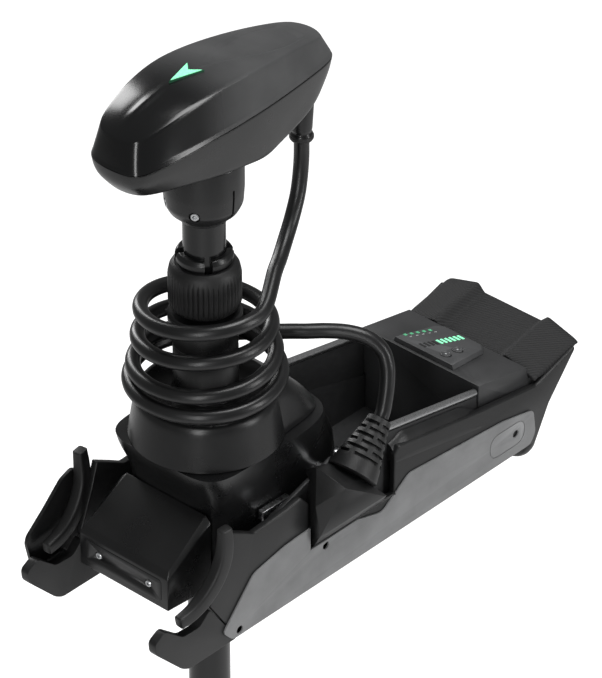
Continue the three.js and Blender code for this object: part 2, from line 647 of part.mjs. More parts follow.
function makeNose() {
  const outside = hull(acrossNose([
    [NOSE_HALF, NOSE_FRONT_Y, 46], [NOSE_HALF, NOSE_FRONT_Y, 80], [NOSE_HALF - 3, NOSE_FRONT_Y + 4, 86],
    [NOSE_HALF, NOSE_REAR_Y, 42], [NOSE_HALF, NOSE_REAR_Y, 112], [NOSE_HALF - 6, NOSE_REAR_Y, 118],
  ]));
  const inside = hull(acrossNose([
    [NOSE_HALF - 4, NOSE_FRONT_Y + 5, 52], [NOSE_HALF - 4, NOSE_FRONT_Y + 5, 78],
    [NOSE_HALF - 4, NOSE_REAR_Y + 12, 48], [NOSE_HALF - 4, NOSE_REAR_Y + 12, 106],
  ]));
  const screwHoles = NOSE_SCREWS.map(([x, z]) => (
    rod([x, NOSE_FRONT_Y - 5, z], [x, NOSE_FRONT_Y + 3, z], NOSE_SCREW_R + TOUCH_GAP, 16)));
  return cut(outside, inside, ...screwHoles);
}

function coilProfile() {
  const half = CABLE_R;
  const slope = (COIL_BOTTOM_R - COIL_TOP_R) / (COIL_TOP_Z - COIL_BOTTOM_Z);
  return [
    [COIL_BOTTOM_R - half, COIL_BOTTOM_Z - half], [COIL_BOTTOM_R + half, COIL_BOTTOM_Z - half],
    [COIL_BOTTOM_R + half, COIL_BOTTOM_Z + half], [COIL_TOP_R + half + slope * half, COIL_TOP_Z - half / 2],
    [COIL_TOP_R + half, COIL_TOP_Z + half], [COIL_TOP_R - half, COIL_TOP_Z + half],
    [COIL_TOP_R - half, COIL_TOP_Z - half],
  ];
}

function makeTower() {
  piece(tower, 'tower_housing', makeTowerHousing(), 'black');
  piece(tower, 'nose_cover', makeNose(), 'black');
  NOSE_SCREWS.forEach(([x, z], i) => {
    const screw = rod([x, NOSE_FRONT_Y - 1, z], [x, NOSE_FRONT_Y + 2.5, z], NOSE_SCREW_R, 16);
    piece(tower, `nose_screw_${i + 1}`, screw, 'steel');
  });
  const motor = rod([0, MOTOR_Y, 70], [0, MOTOR_Y, GEAR_Z - 3], MOTOR_R, 24);
  piece(tower, 'steering_motor', motor, 'steel');
  const pinion = gear(PINION_TEETH, GEAR_MODULE, GEAR_Z, GEAR_Z + GEAR_T, 0);
  pinion.rotateZ(Math.PI / 2 + Math.PI / PINION_TEETH).translate(0, MOTOR_Y, 0);
  piece(tower, 'steering_pinion', pinion, 'brass');
  const bush = ring(SHAFT_R + RUN_GAP, SHAFT_R + 2.7, SLEEVE_BOTTOM_Z - 30, SLEEVE_BOTTOM_Z - 1, 32);
  piece(tower, 'guide_bush', bush, 'grey');
  piece(tower, 'coil_cable', turned(coilProfile(), 40), 'rubber');
}

// ---------------------------------------------------------------- steering sleeve and depth clamp
function makeSleeve() {
  const [bore, outer] = [SLEEVE_BORE, SLEEVE_R];
  const top = FLANGE_Z + FLANGE_T;
  return turned([
    [bore, SLEEVE_BOTTOM_Z], [outer, SLEEVE_BOTTOM_Z], [outer, FLANGE_Z - 4], [KNOB_R + 0.6, FLANGE_Z],
    [KNOB_R + 0.6, top - 2], [KNOB_R - 1.4, top], [bore, top],
  ], 40);
}

function makeCollet() {
  const seat = FLANGE_Z + FLANGE_T + TOUCH_GAP;
  const body = ring(SLEEVE_BORE, SLEEVE_BORE + COLLET_WALL, seat, COLLET_TOP_Z, 40);
  const slots = [0, 1, 2, 3].map((i) => (
    box(0, 60, -COLLET_SLOT / 2, COLLET_SLOT / 2, COLLET_TOP_Z - 40, COLLET_TOP_Z + 5)
      .rotateZ((-38 * Math.PI) / 180 + (i * Math.PI) / 2)));
  return cut(body, ...slots);
}

function makeKnob() {
  const bore = SLEEVE_BORE + COLLET_WALL + RUN_GAP;
  return turned([
    [bore, KNOB_BOTTOM_Z], [KNOB_R - 3.5, KNOB_BOTTOM_Z], [KNOB_R, KNOB_BOTTOM_Z + 5],
    [KNOB_R, KNOB_TOP_Z - 11], [KNOB_R - 1.6, KNOB_TOP_Z - 5], [KNOB_R - 5, KNOB_TOP_Z], [bore, KNOB_TOP_Z],
  ], 40);
}

function makeSteering() {
  piece(steering, 'steering_sleeve', makeSleeve(), 'black');
  const drive = gear(GEAR_TEETH, GEAR_MODULE, GEAR_Z, GEAR_Z + GEAR_T, SLEEVE_R + TOUCH_GAP);
  piece(steering, 'drive_gear', drive, 'brass');
  piece(steering, 'depth_collet', makeCollet(), 'black');
  piece(steering, 'depth_knob', makeKnob(), 'rubber');
}

// ---------------------------------------------------------------- shaft and head
const widened = (rows, grow) => rows.flatMap(([x, y, z]) => (
  [[x + grow, y, z], [-x - grow, y, z]]));

function headLowerOutside(drop = 0) {
  const seam = mirrored(HEAD_SEAM, SEAM_Z - TOUCH_GAP / 2);
  return hull(seam, widened(HEAD_BELLY, 0).map(([x, y, z]) => [x, y, z - drop]));
}

function headUpperOutside(drop = 0, grow = 0) {
  const seam = mirrored(HEAD_SEAM.map(([x, y]) => [x + grow, y]), SEAM_Z + TOUCH_GAP / 2);
  const lift = ([x, y, z]) => [x, y, z - drop];
  return hull(seam, widened(HEAD_CREASE, grow).map(lift), widened(HEAD_RIDGE, 0).map(lift));
}

// A smaller copy of a head shell about the head's middle, for its hollow inside.
function shrunk(geometry, wall) {
  const centre = [0, 18, SEAM_Z];
  const moved = geometry.clone().translate(-centre[0], -centre[1], -centre[2]);
  moved.scale(1 - wall / 36, 1 - wall / 120, 1 - wall / 40);
  return moved.translate(...centre);
}

function makeHeadLower() {
  const outside = headLowerOutside();
  const inside = join(shrunk(outside, HEAD_WALL), shrunk(headUpperOutside(), HEAD_WALL));
  const glandHole = cylinder(GLAND_HOLE_R + TOUCH_GAP, 400, SEAM_Z, 20).translate(0, GLAND_Y, 0);
  return cut(outside, inside, glandHole);
}

function makeHeadUpper() {
  const inside = join(shrunk(headUpperOutside(), HEAD_WALL), shrunk(headLowerOutside(), HEAD_WALL));
  return cut(headUpperOutside(), inside, lensRoom(TOUCH_GAP), arrowPrism(TOUCH_GAP));
}

// The gloss lens lies in a shallow step over the front of the top shell.
function lensRoom(gap) {
  const half = [[14, -92], [24, -78], [31, -52], [33, -20], [33, LENS_REAR_Y]];
  const right = half.map(([x, y]) => [x + gap, y + (y > 0 ? gap : -gap)]);
  const left = right.map(([x, y]) => [-x, y]).reverse();
  const region = prismZ([...right, ...left], SEAM_Z + 18, 600);
  return cut(region, headUpperOutside(LENS_T + gap));
}

function arrowPrism(gap) {
  const [wing, rearY] = [ARROW_WING[0] + 2 * gap, ARROW_WING[1] + 2 * gap];
  const outline = [[0, ARROW_TIP_Y - 4 * gap], [wing, rearY], [0, ARROW_NOTCH_Y + 3 * gap], [-wing, rearY]];
  return prismZ(outline, SEAM_Z + 20, 600);
}

function makeArrow() {
  return cut(common(headUpperOutside(), arrowPrism(0)), headUpperOutside(LENS_T * 2));
}

function makeLens() {
  return cut(common(headUpperOutside(), lensRoom(0)), arrowPrism(TOUCH_GAP));
}

function makeGland() {
  const bore = CABLE_R + TOUCH_GAP;
  const top = SEAM_Z - 8;
  const body = turned([
    [bore, GLAND_BOTTOM_Z], [GLAND_R, GLAND_BOTTOM_Z], [GLAND_R, GLAND_BOTTOM_Z + 7],
    [GLAND_R - 1.6, GLAND_BOTTOM_Z + 9], [GLAND_HOLE_R, top], [bore, top],
  ], 24).translate(0, GLAND_Y, 0);
  const neck = cylinder(GLAND_HOLE_R, 400, top, 24).translate(0, GLAND_Y, 0);
  return cut(body, cut(headLowerOutside(TOUCH_GAP), neck));
}

function makeCollar() {
  const bore = SHAFT_R + TOUCH_GAP;
  const top = COLLAR_BOTTOM_Z + 86;
  const body = turned([
    [bore, COLLAR_BOTTOM_Z], [SHAFT_R + 2.4, COLLAR_BOTTOM_Z], [SHAFT_R + 3, COLLAR_BOTTOM_Z + 5],
    [COLLAR_R - 5, COLLAR_BOTTOM_Z + 11], [COLLAR_R - 0.6, COLLAR_BOTTOM_Z + 18],
    [COLLAR_R, COLLAR_BOTTOM_Z + 40], [COLLAR_R, top], [bore, top],
  ], 40);
  const slit = box(0, 60, -1.2, 1.2, COLLAR_BOTTOM_Z - 2, COLLAR_BOTTOM_Z + 38);
  const holes = COLLAR_SCREWS.map((angle) => (
    rod([COLLAR_SCREW_SEAT, 0, COLLAR_SCREW_Z], [60, 0, COLLAR_SCREW_Z], COLLAR_SCREW_R + 1.5, 16)
      .rotateZ(angle)));
  return cut(body, headLowerOutside(TOUCH_GAP), slit, ...holes);
}

function makeShaft() {
  const tube = ring(SHAFT_R - SHAFT_WALL, SHAFT_R, POD_Z + POD_R + 14, SHAFT_TOP_Z, 40);
  piece(shaft, 'shaft_tube', tube, 'black');
  piece(shaft, 'head_collar', makeCollar(), 'black');
  COLLAR_SCREWS.forEach((angle, i) => {
    const [seat, end] = [COLLAR_SCREW_SEAT + TOUCH_GAP, COLLAR_R + 0.5];
    const screw = rod([seat, 0, COLLAR_SCREW_Z], [end, 0, COLLAR_SCREW_Z], COLLAR_SCREW_R, 16);
    piece(shaft, `collar_screw_${i + 1}`, screw.rotateZ(angle), 'steel');
  });
  piece(shaft, 'head_lower_housing', makeHeadLower(), 'black');
  piece(shaft, 'head_top_cover', makeHeadUpper(), 'grey');
  piece(shaft, 'head_lens', makeLens(), 'gloss');
  piece(shaft, 'heading_arrow', makeArrow(), 'green');
  const boardZ = SEAM_Z - 6;
  piece(shaft, 'head_board', box(-22, 22, -60, 80, boardZ, boardZ + BOARD_T), 'board');
  piece(shaft, 'head_gland', makeGland(), 'black');
  piece(shaft, 'coil_cable_drop', sweep(DROP_POINTS, polygon(CABLE_R, 10), 14), 'rubber');
}

// ---------------------------------------------------------------- drive unit
// Turns a body made about Z so that its axis lies along +Y at the pod's height.
function alongPod(geometry) {
  return geometry.rotateX(-Math.PI / 2).translate(0, 0, POD_Z);
}

function makePodHousing() {
  const inner = POD_R - POD_WALL;
  const body = alongPod(turned([
    [0, POD_FRONT_Y], [POD_R, POD_FRONT_Y], [POD_R, POD_REAR_Y], [inner, POD_REAR_Y],
    [inner, POD_FRONT_Y + 8], [0, POD_FRONT_Y + 8],
  ], 40));
  const neckZ = POD_Z + POD_R;
  const neck = turned([
    [0, neckZ - 3], [SHAFT_R + 12, neckZ - 3], [SHAFT_R + 7, neckZ + 16], [SHAFT_R + 4, neckZ + 60],
    [0, neckZ + 60],
  ], 32);
  const socket = cylinder(SHAFT_R + TOUCH_GAP, neckZ + 14 - TOUCH_GAP, neckZ + 80, 40);
  const keelZ = POD_Z - POD_R;
  const skeg = prismX([[-40, keelZ + 3], [92, keelZ + 3], [84, keelZ - 62], [56, keelZ - 66]], -3, 3, 6);
  return cut(join(body, neck, skeg), socket);
}

function makePodNose() {
  const profile = [[0, 0]];
  const steps = 8;
  const length = 72;
  for (let i = 0; i <= steps; i += 1) {
    const angle = (i / steps) * (Math.PI / 2);
    profile.push([POD_R * Math.cos(angle), length * Math.sin(angle)]);
  }
  profile[profile.length - 1][0] = 0;
  return alongPod(turned(profile, 40).rotateX(Math.PI).translate(0, 0, POD_FRONT_Y - TOUCH_GAP));
}

function makeEndBell() {
  const bore = PROP_SHAFT_R + RUN_GAP;
  const spigot = POD_R - POD_WALL - TOUCH_GAP;
  const face = POD_REAR_Y + TOUCH_GAP;
  return alongPod(turned([
    [bore, POD_REAR_Y - 10], [spigot, POD_REAR_Y - 10], [spigot, face], [POD_R, face],
    [POD_R - 8, POD_REAR_Y + 14], [bore, POD_REAR_Y + 14],
  ], 40));
}

// One blade standing up from the hub: outlines at its root, middle and tip, turned less and less.
function makeBlade() {
  const station = (points, z) => points.map(([x, y]) => [x, HUB_FRONT_Y + y, z]);
  return hull(
    station([[-17, 10], [-13, 7], [17, 46], [13, 49]], 10),
    station([[-38, 12], [-35, 9], [33, 42], [30, 45]], 0.63 * PROP_R),
    station([[-16, 19], [-15, 17]], PROP_R - 4),
    station([[18, 33], [17, 35]], PROP_R),
  );
}

function makePropeller() {
  const hubRear = HUB_FRONT_Y + HUB_LENGTH;
  const hub = turned([
    [0, HUB_FRONT_Y], [HUB_R, HUB_FRONT_Y], [HUB_R, hubRear - 12], [HUB_R - 7, hubRear], [0, hubRear],
  ], 32).rotateX(-Math.PI / 2);
  const blades = [];
  for (let i = 0; i < BLADES; i += 1) {
    blades.push(makeBlade().rotateY((i * 2 * Math.PI) / BLADES));
  }
  const bore = rod([0, HUB_FRONT_Y - 5, 0], [0, hubRear + 5, 0], PROP_SHAFT_R + TOUCH_GAP, 24);
  const driveSlot = box(-20, 20, HUB_FRONT_Y - 2, HUB_FRONT_Y + 6, -2.8, 2.8);
  return cut(join(hub, ...blades), bore, driveSlot).translate(0, 0, POD_Z);
}

function makeDrive() {
  piece(shaft, 'drive_housing', makePodHousing(), 'black');
  piece(shaft, 'drive_nose_cone', makePodNose(), 'black');
  piece(shaft, 'drive_end_bell', makeEndBell(), 'black');
  const statorR = POD_R - POD_WALL - TOUCH_GAP;
  piece(shaft, 'motor_stator', alongPod(ring(statorR - 12, statorR, -70, 60, 32)), 'copper');
  const rotor = turned([
    [0, -90], [PROP_SHAFT_R, -90], [PROP_SHAFT_R, -64], [statorR - 13.5, -64], [statorR - 13.5, 54],
    [PROP_SHAFT_R, 54],
    [PROP_SHAFT_R, HUB_FRONT_Y + HUB_LENGTH + 14], [0, HUB_FRONT_Y + HUB_LENGTH + 14],
  ], 32);
  const pinY = HUB_FRONT_Y + 3;
  const drivePin = (grow) => rod([-17, pinY, POD_Z], [17, pinY, POD_Z], 2.4 + grow, 12);
  piece(propulsion, 'rotor_shaft', cut(alongPod(rotor), drivePin(TOUCH_GAP)), 'steel');
  piece(propulsion, 'drive_pin', drivePin(0), 'steel');
  piece(propulsion, 'propeller', makePropeller(), 'black');
  const nutBore = cylinder(PROP_SHAFT_R + TOUCH_GAP, -1, 10, 24);
  const nut = cut(cylinder(12, 0, 9, 6), nutBore).translate(0, 0, HUB_FRONT_Y + HUB_LENGTH + TOUCH_GAP);
  piece(propulsion, 'propeller_nut', alongPod(nut), 'steel');
}

// ---------------------------------------------------------------- power cable
function makePower() {
  const gland = rod([60, BASE_REAR_Y + 9.6, 17.6], [60, BASE_REAR_Y + 15.4, 13.6], POWER_GLAND_R, 20);
  piece(base, 'power_gland', gland, 'black');
  piece(base, 'power_cable', sweep(POWER_POINTS, polygon(POWER_R, 8), 16), 'rubber');
  const height = 2 * POWER_R * POWER_TURNS;
  const [inside, outside] = [POWER_COIL_R - POWER_R, POWER_COIL_R + POWER_R];
  const coil = ring(inside, outside, POWER_COIL_Z - height, POWER_COIL_Z, 36);
  piece(base, 'power_coil', coil, 'rubber', [...COIL_CENTRE, 0]);
  piece(base, 'power_cable_end', sweep(TAIL_END_POINTS, polygon(POWER_R, 8), 3), 'rubber');
  const [plugX, plugY, plugZ] = TAIL_END_POINTS[TAIL_END_POINTS.length - 1];
  const plugTop = plugY - 5 * TOUCH_GAP;
  const plug = rod([plugX, plugTop, plugZ - 2], [plugX, plugTop - PLUG_LENGTH, plugZ - 2], PLUG_R, 20);
  piece(base, 'power_plug', plug, 'black');
  const [tieX, tieY] = [COIL_CENTRE[0], COIL_CENTRE[1] - POWER_COIL_R];
  const inner = [POWER_R + 1, height / 2 + TOUCH_GAP];
  const middle = POWER_COIL_Z - height / 2;
  const band = (grow, half) => box(
    tieX - half, tieX + half, tieY - inner[0] - grow, tieY + inner[0] + grow,
    middle - inner[1] - grow, middle + inner[1] + grow);
  piece(base, 'power_tie', cut(band(1.6, 5), band(0, 8)), 'black');
}

makeBase();
makeTower();
makeSteering();
makeShaft();
makeDrive();
makePower();

export default trollingMotor;
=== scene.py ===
"""Looks of the bow-mount trolling motor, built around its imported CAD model.

Places are in millimetres from the shaft's axis and the deck face, as in the CAD source;
at() and metres() turn them into the frame's metres. -Y points over the bow.
"""
import json
import math

import bmesh
import bpy
from mathutils import Matrix, Vector
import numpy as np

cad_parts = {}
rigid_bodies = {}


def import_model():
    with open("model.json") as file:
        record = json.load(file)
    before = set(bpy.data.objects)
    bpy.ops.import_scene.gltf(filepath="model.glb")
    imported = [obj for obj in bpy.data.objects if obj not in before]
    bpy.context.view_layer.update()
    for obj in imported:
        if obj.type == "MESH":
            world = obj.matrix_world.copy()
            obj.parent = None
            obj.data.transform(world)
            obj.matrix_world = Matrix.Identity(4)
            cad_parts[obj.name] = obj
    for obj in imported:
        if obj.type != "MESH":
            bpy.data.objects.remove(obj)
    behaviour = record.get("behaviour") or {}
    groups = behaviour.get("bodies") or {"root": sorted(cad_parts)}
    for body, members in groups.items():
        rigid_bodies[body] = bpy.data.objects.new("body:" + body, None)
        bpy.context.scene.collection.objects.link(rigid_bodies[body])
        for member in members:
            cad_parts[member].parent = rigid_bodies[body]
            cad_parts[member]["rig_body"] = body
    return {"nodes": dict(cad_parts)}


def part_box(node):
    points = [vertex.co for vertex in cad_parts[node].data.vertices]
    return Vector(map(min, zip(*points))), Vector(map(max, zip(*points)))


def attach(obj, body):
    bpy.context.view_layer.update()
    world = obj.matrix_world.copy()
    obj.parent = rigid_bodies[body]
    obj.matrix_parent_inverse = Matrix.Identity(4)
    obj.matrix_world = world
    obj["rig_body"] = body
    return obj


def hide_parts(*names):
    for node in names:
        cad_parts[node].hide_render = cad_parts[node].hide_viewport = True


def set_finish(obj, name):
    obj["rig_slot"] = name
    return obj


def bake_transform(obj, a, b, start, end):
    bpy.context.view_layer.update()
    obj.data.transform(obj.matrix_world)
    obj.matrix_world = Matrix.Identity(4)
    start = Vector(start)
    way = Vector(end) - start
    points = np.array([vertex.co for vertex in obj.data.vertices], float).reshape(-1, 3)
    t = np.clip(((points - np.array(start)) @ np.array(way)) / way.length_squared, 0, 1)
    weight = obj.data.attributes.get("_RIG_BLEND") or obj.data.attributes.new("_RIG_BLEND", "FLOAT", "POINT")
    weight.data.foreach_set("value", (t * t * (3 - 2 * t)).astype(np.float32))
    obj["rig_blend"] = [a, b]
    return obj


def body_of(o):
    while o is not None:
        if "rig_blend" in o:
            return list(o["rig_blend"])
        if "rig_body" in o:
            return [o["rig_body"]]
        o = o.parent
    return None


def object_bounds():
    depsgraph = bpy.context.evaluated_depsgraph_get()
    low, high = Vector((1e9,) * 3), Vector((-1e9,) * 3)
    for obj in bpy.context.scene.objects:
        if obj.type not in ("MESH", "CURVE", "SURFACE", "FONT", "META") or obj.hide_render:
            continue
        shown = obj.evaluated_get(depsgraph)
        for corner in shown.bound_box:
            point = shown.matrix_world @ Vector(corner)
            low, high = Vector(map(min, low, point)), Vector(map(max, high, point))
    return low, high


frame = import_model()
CAD_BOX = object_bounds()

# ---------------------------------------------------------------- driving dimensions
MM = 0.001
DECK_CENTRE_Y = 155.0       # centre of the deck face, behind the shaft axis
SHAFT_R = 19.0
POD_Z = -830.0
POD_R = 45.0
CABLE_R = 7.0
POWER_R = 6.0
RAIL_Z = 142.6
RAIL_SLOPE = 0.192
SEAM_GAP = 0.7              # open line between the two shells of the head

# ---------------------------------------------------------------- camera and stage
CAMERA_AIM = Vector((-0.0362, 0.0079, 0.1585))
CAMERA_DISTANCE = 4.6
CAMERA_AZIMUTH = math.radians(42.46)
CAMERA_ELEVATION = math.radians(34.02)
LENS = 269.5


def metres(x, y, z):
    return Vector((x * MM, y * MM, z * MM))


def at(x, y, z):
    """A place measured from the shaft axis, in the frame's metres."""
    return metres(x, y - DECK_CENTRE_Y, z)


def make_camera():
    data = bpy.data.cameras.new("camera")
    data.lens = LENS
    data.sensor_width = 36.0
    data.sensor_fit = "AUTO"
    data.clip_end = 50.0
    camera = bpy.data.objects.new("camera", data)
    bpy.context.scene.collection.objects.link(camera)
    flat = math.cos(CAMERA_ELEVATION)
    back = Vector((flat * math.sin(CAMERA_AZIMUTH), -flat * math.cos(CAMERA_AZIMUTH),
                   math.sin(CAMERA_ELEVATION)))
    right = Vector((math.cos(CAMERA_AZIMUTH), math.sin(CAMERA_AZIMUTH), 0.0))
    up = back.cross(right)
    turn = Matrix((right, up, back)).transposed().to_4x4()
    camera.matrix_world = Matrix.Translation(CAMERA_AIM + back * CAMERA_DISTANCE) @ turn
    bpy.context.scene.camera = camera


def area_light(name, place, size, power, colour=(1.0, 1.0, 1.0)):
    data = bpy.data.lights.new(name, "AREA")
    data.shape = "RECTANGLE"
    data.size, data.size_y = size
    data.energy = power
    data.color = colour
    lamp = bpy.data.objects.new(name, data)
    lamp.location = place
    lamp.rotation_euler = (Vector((0.0, 0.0, 0.15)) - Vector(place)).to_track_quat("-Z", "Y").to_euler()
    bpy.context.scene.collection.objects.link(lamp)


def make_lights():
    area_light("key_above", (0.3, 0.5, 2.8), (1.6, 1.2), 46)
    area_light("strip_front", (1.4, -2.4, 1.0), (0.4, 2.4), 26)
    area_light("strip_right", (2.6, 1.0, 0.9), (0.5, 2.2), 26)
    area_light("rim_left", (-2.4, 0.6, 1.3), (0.5, 2.0), 26)
    world = bpy.data.worlds.new("studio")
    bpy.context.scene.world = world
    world.use_nodes = True
    nodes, links = world.node_tree.nodes, world.node_tree.links
    nodes.clear()
    path = nodes.new("ShaderNodeLightPath")
    soft = nodes.new("ShaderNodeBackground")
    soft.inputs["Color"].default_value = (1.0, 1.0, 1.0, 1.0)
    soft.inputs["Strength"].default_value = 0.2
    white = nodes.new("ShaderNodeBackground")
    white.inputs["Color"].default_value = (1.0, 1.0, 1.0, 1.0)
    white.inputs["Strength"].default_value = 1.0
    mix = nodes.new("ShaderNodeMixShader")
    out = nodes.new("ShaderNodeOutputWorld")
    links.new(path.outputs["Is Camera Ray"], mix.inputs[0])
    links.new(soft.outputs[0], mix.inputs[1])
    links.new(white.outputs[0], mix.inputs[2])
    links.new(mix.outputs[0], out.inputs[0])


def make_floor():
    """A pale floor under the lowest point; the camera sees it almost white."""
    size = 8.0
    z = CAD_BOX[0][2] - 0.002
    mesh = bpy.data.meshes.new("floor")
    corners = [(-size, -size, z), (size, -size, z), (size, size, z), (-size, size, z)]
    mesh.from_pydata(corners, [], [(0, 1, 2, 3)])
    floor = bpy.data.objects.new("floor", mesh)
    bpy.context.scene.collection.objects.link(floor)
    material = bpy.data.materials.new("floor_white")
    material.use_nodes = True
    nodes, links = material.node_tree.nodes, material.node_tree.links
    shader = nodes["Principled BSDF"]
    shader.inputs["Base Color"].default_value = (0.92, 0.92, 0.92, 1.0)
    shader.inputs["Roughness"].default_value = 0.9
    shader.inputs["Emission Color"].default_value = (1.0, 1.0, 1.0, 1.0)
    path = nodes.new("ShaderNodeLightPath")
    lift = nodes.new("ShaderNodeMath")
    lift.operation = "MULTIPLY"
    lift.inputs[1].default_value = 0.6
    links.new(path.outputs["Is Camera Ray"], lift.inputs[0])
    links.new(lift.outputs[0], shader.inputs["Emission Strength"])
    mesh.materials.append(material)


make_camera()
make_lights()
make_floor()
bpy.context.scene.view_settings.view_transform = "Standard"


# ---------------------------------------------------------------- materials
def shader_of(name):
    material = bpy.data.materials.new(name)
    material.use_nodes = True
    nodes = material.node_tree.nodes
    return material, nodes, material.node_tree.links, nodes["Principled BSDF"]


def add_noise(nodes, links, scale, detail=4.0, stretch=None):
    """Noise in the object's own metres, stretched along the axes if asked."""
    where = nodes.new("ShaderNodeTexCoord")
    texture = nodes.new("ShaderNodeTexNoise")
    texture.inputs["Scale"].default_value = scale
    texture.inputs["Detail"].default_value = detail
    if stretch is None:
        links.new(where.outputs["Object"], texture.inputs["Vector"])
    else:
        mapping = nodes.new("ShaderNodeMapping")
        mapping.inputs["Scale"].default_value = stretch
        links.new(where.outputs["Object"], mapping.inputs["Vector"])
        links.new(mapping.outputs["Vector"], texture.inputs["Vector"])
    return texture.outputs["Fac"]


def spread(nodes, links, value, low, high):
    """Maps a texture's middle range to low..high."""
    scale = nodes.new("ShaderNodeMapRange")
    scale.inputs["From Min"].default_value = 0.3
    scale.inputs["From Max"].default_value = 0.7
    scale.inputs["To Min"].default_value = low
    scale.inputs["To Max"].default_value = high
    links.new(value, scale.inputs["Value"])
    return scale.outputs["Result"]


def blended(nodes, links, factor, first, second):
    mix = nodes.new("ShaderNodeMix")
    mix.data_type = "RGBA"
    links.new(factor, mix.inputs["Factor"])
    for socket, colour in (("A", first), ("B", second)):
        target = [s for s in mix.inputs if s.name == socket and s.type == "RGBA"][0]
        if isinstance(colour, bpy.types.NodeSocket):
            links.new(colour, target)
        else:
            target.default_value = (*colour, 1.0)
    return [s for s in mix.outputs if s.type == "RGBA"][0]


def bump(nodes, links, height, strength, distance):
    node = nodes.new("ShaderNodeBump")
    node.inputs["Strength"].default_value = strength
    node.inputs["Distance"].default_value = distance
    links.new(height, node.inputs["Height"])
    return node.outputs["Normal"]


def scuffed_highlighted_edges(nodes, links, colour, edge, amount):
    """Lightens the convex edges a little: partly wear where handling rubs the finish, partly a painted
    highlight along the edges.
    """
    geometry = nodes.new("ShaderNodeNewGeometry")
    edges = nodes.new("ShaderNodeMapRange")
    edges.inputs["From Min"].default_value = 0.53
    edges.inputs["From Max"].default_value = 0.66
    edges.inputs["To Max"].default_value = amount
    links.new(geometry.outputs["Pointiness"], edges.inputs["Value"])
    return blended(nodes, links, edges.outputs["Result"], colour, edge)


def moulded(name, colour, roughness, grain=900.0, depth=0.25, edge=None, scuff_highlight_amount=0.5, coat=0.0):
    """Moulded plastic: fine pebble grain, faint cloudiness in colour and gloss, convex edges lightened as
    rubbed wear and as a painted edge highlight.
    """
    material, nodes, links, shader = shader_of(name)
    cloud = add_noise(nodes, links, 28.0)
    darker = tuple(c * 0.82 for c in colour)
    lighter = tuple(c * 1.16 for c in colour)
    tone = blended(nodes, links, spread(nodes, links, cloud, 0.0, 1.0), darker, lighter)
    # Edge colour: rubbed wear together with a painted highlight on the convex edges.
    scuffed_highlighted_edge_colour = edge or tuple(c * 2.4 + 0.01 for c in colour)
    links.new(scuffed_highlighted_edges(nodes, links, tone, scuffed_highlighted_edge_colour, scuff_highlight_amount), shader.inputs["Base Color"])
    links.new(spread(nodes, links, cloud, roughness - 0.05, roughness + 0.05), shader.inputs["Roughness"])
    fine = add_noise(nodes, links, grain, 2.0)
    links.new(bump(nodes, links, fine, depth, 0.0003), shader.inputs["Normal"])
    shader.inputs["Coat Weight"].default_value = coat
    shader.inputs["Coat Roughness"].default_value = 0.12
    return material


def metal(name, colour, roughness, stretch, depth=0.15, metallic=1.0):
    """Metal with fine lines along the axis whose stretch is smallest."""
    material, nodes, links, shader = shader_of(name)
    lines = add_noise(nodes, links, 260.0, 3.0, stretch)
    darker = tuple(c * 0.8 for c in colour)
    tone = blended(nodes, links, spread(nodes, links, lines, 0.0, 1.0), darker, colour)
    links.new(tone, shader.inputs["Base Color"])
    shader.inputs["Metallic"].default_value = metallic
    links.new(spread(nodes, links, lines, roughness - 0.06, roughness + 0.08), shader.inputs["Roughness"])
    links.new(bump(nodes, links, lines, depth, 0.0002), shader.inputs["Normal"])
    return material


def head_cover_material():
    """Gloss black over the front of the head, fading to satin dark grey towards the rear."""
    material, nodes, links, shader = shader_of("head_cover_fade")
    where = nodes.new("ShaderNodeTexCoord")
    parts = nodes.new("ShaderNodeSeparateXYZ")
    links.new(where.outputs["Object"], parts.inputs[0])
    fade = nodes.new("ShaderNodeMapRange")
    fade.interpolation_type = "SMOOTHSTEP"
    fade.inputs["From Min"].default_value = at(0, -48, 0).y
    fade.inputs["From Max"].default_value = at(0, 22, 0).y
    links.new(parts.outputs["Y"], fade.inputs["Value"])
    cloud = add_noise(nodes, links, 30.0)
    patches = spread(nodes, links, cloud, 0.0, 1.0)
    grey = blended(nodes, links, patches, (0.052, 0.053, 0.054), (0.072, 0.073, 0.074))
    tone = blended(nodes, links, fade.outputs["Result"], (0.004, 0.0042, 0.0045), grey)
    links.new(tone, shader.inputs["Base Color"])
    rough = nodes.new("ShaderNodeMapRange")
    rough.inputs["To Min"].default_value = 0.17
    rough.inputs["To Max"].default_value = 0.42
    links.new(fade.outputs["Result"], rough.inputs["Value"])
    links.new(rough.outputs["Result"], shader.inputs["Roughness"])
    fine = add_noise(nodes, links, 1100.0, 2.0)
    links.new(bump(nodes, links, fine, 0.12, 0.0002), shader.inputs["Normal"])
    return material


# Emitting surface: the LEDs are lamps; the arrow's halo and the white print use it as a painted glow.
def emitting_material(name, colour, strength):
    material, nodes, links, shader = shader_of(name)
    cloud = add_noise(nodes, links, 400.0)
    dim = tuple(c * 0.8 for c in colour)
    tone = blended(nodes, links, spread(nodes, links, cloud, 0.0, 1.0), dim, colour)
    links.new(tone, shader.inputs["Base Color"])
    links.new(tone, shader.inputs["Emission Color"])
    shader.inputs["Emission Strength"].default_value = strength
    shader.inputs["Roughness"].default_value = 0.35
    return material


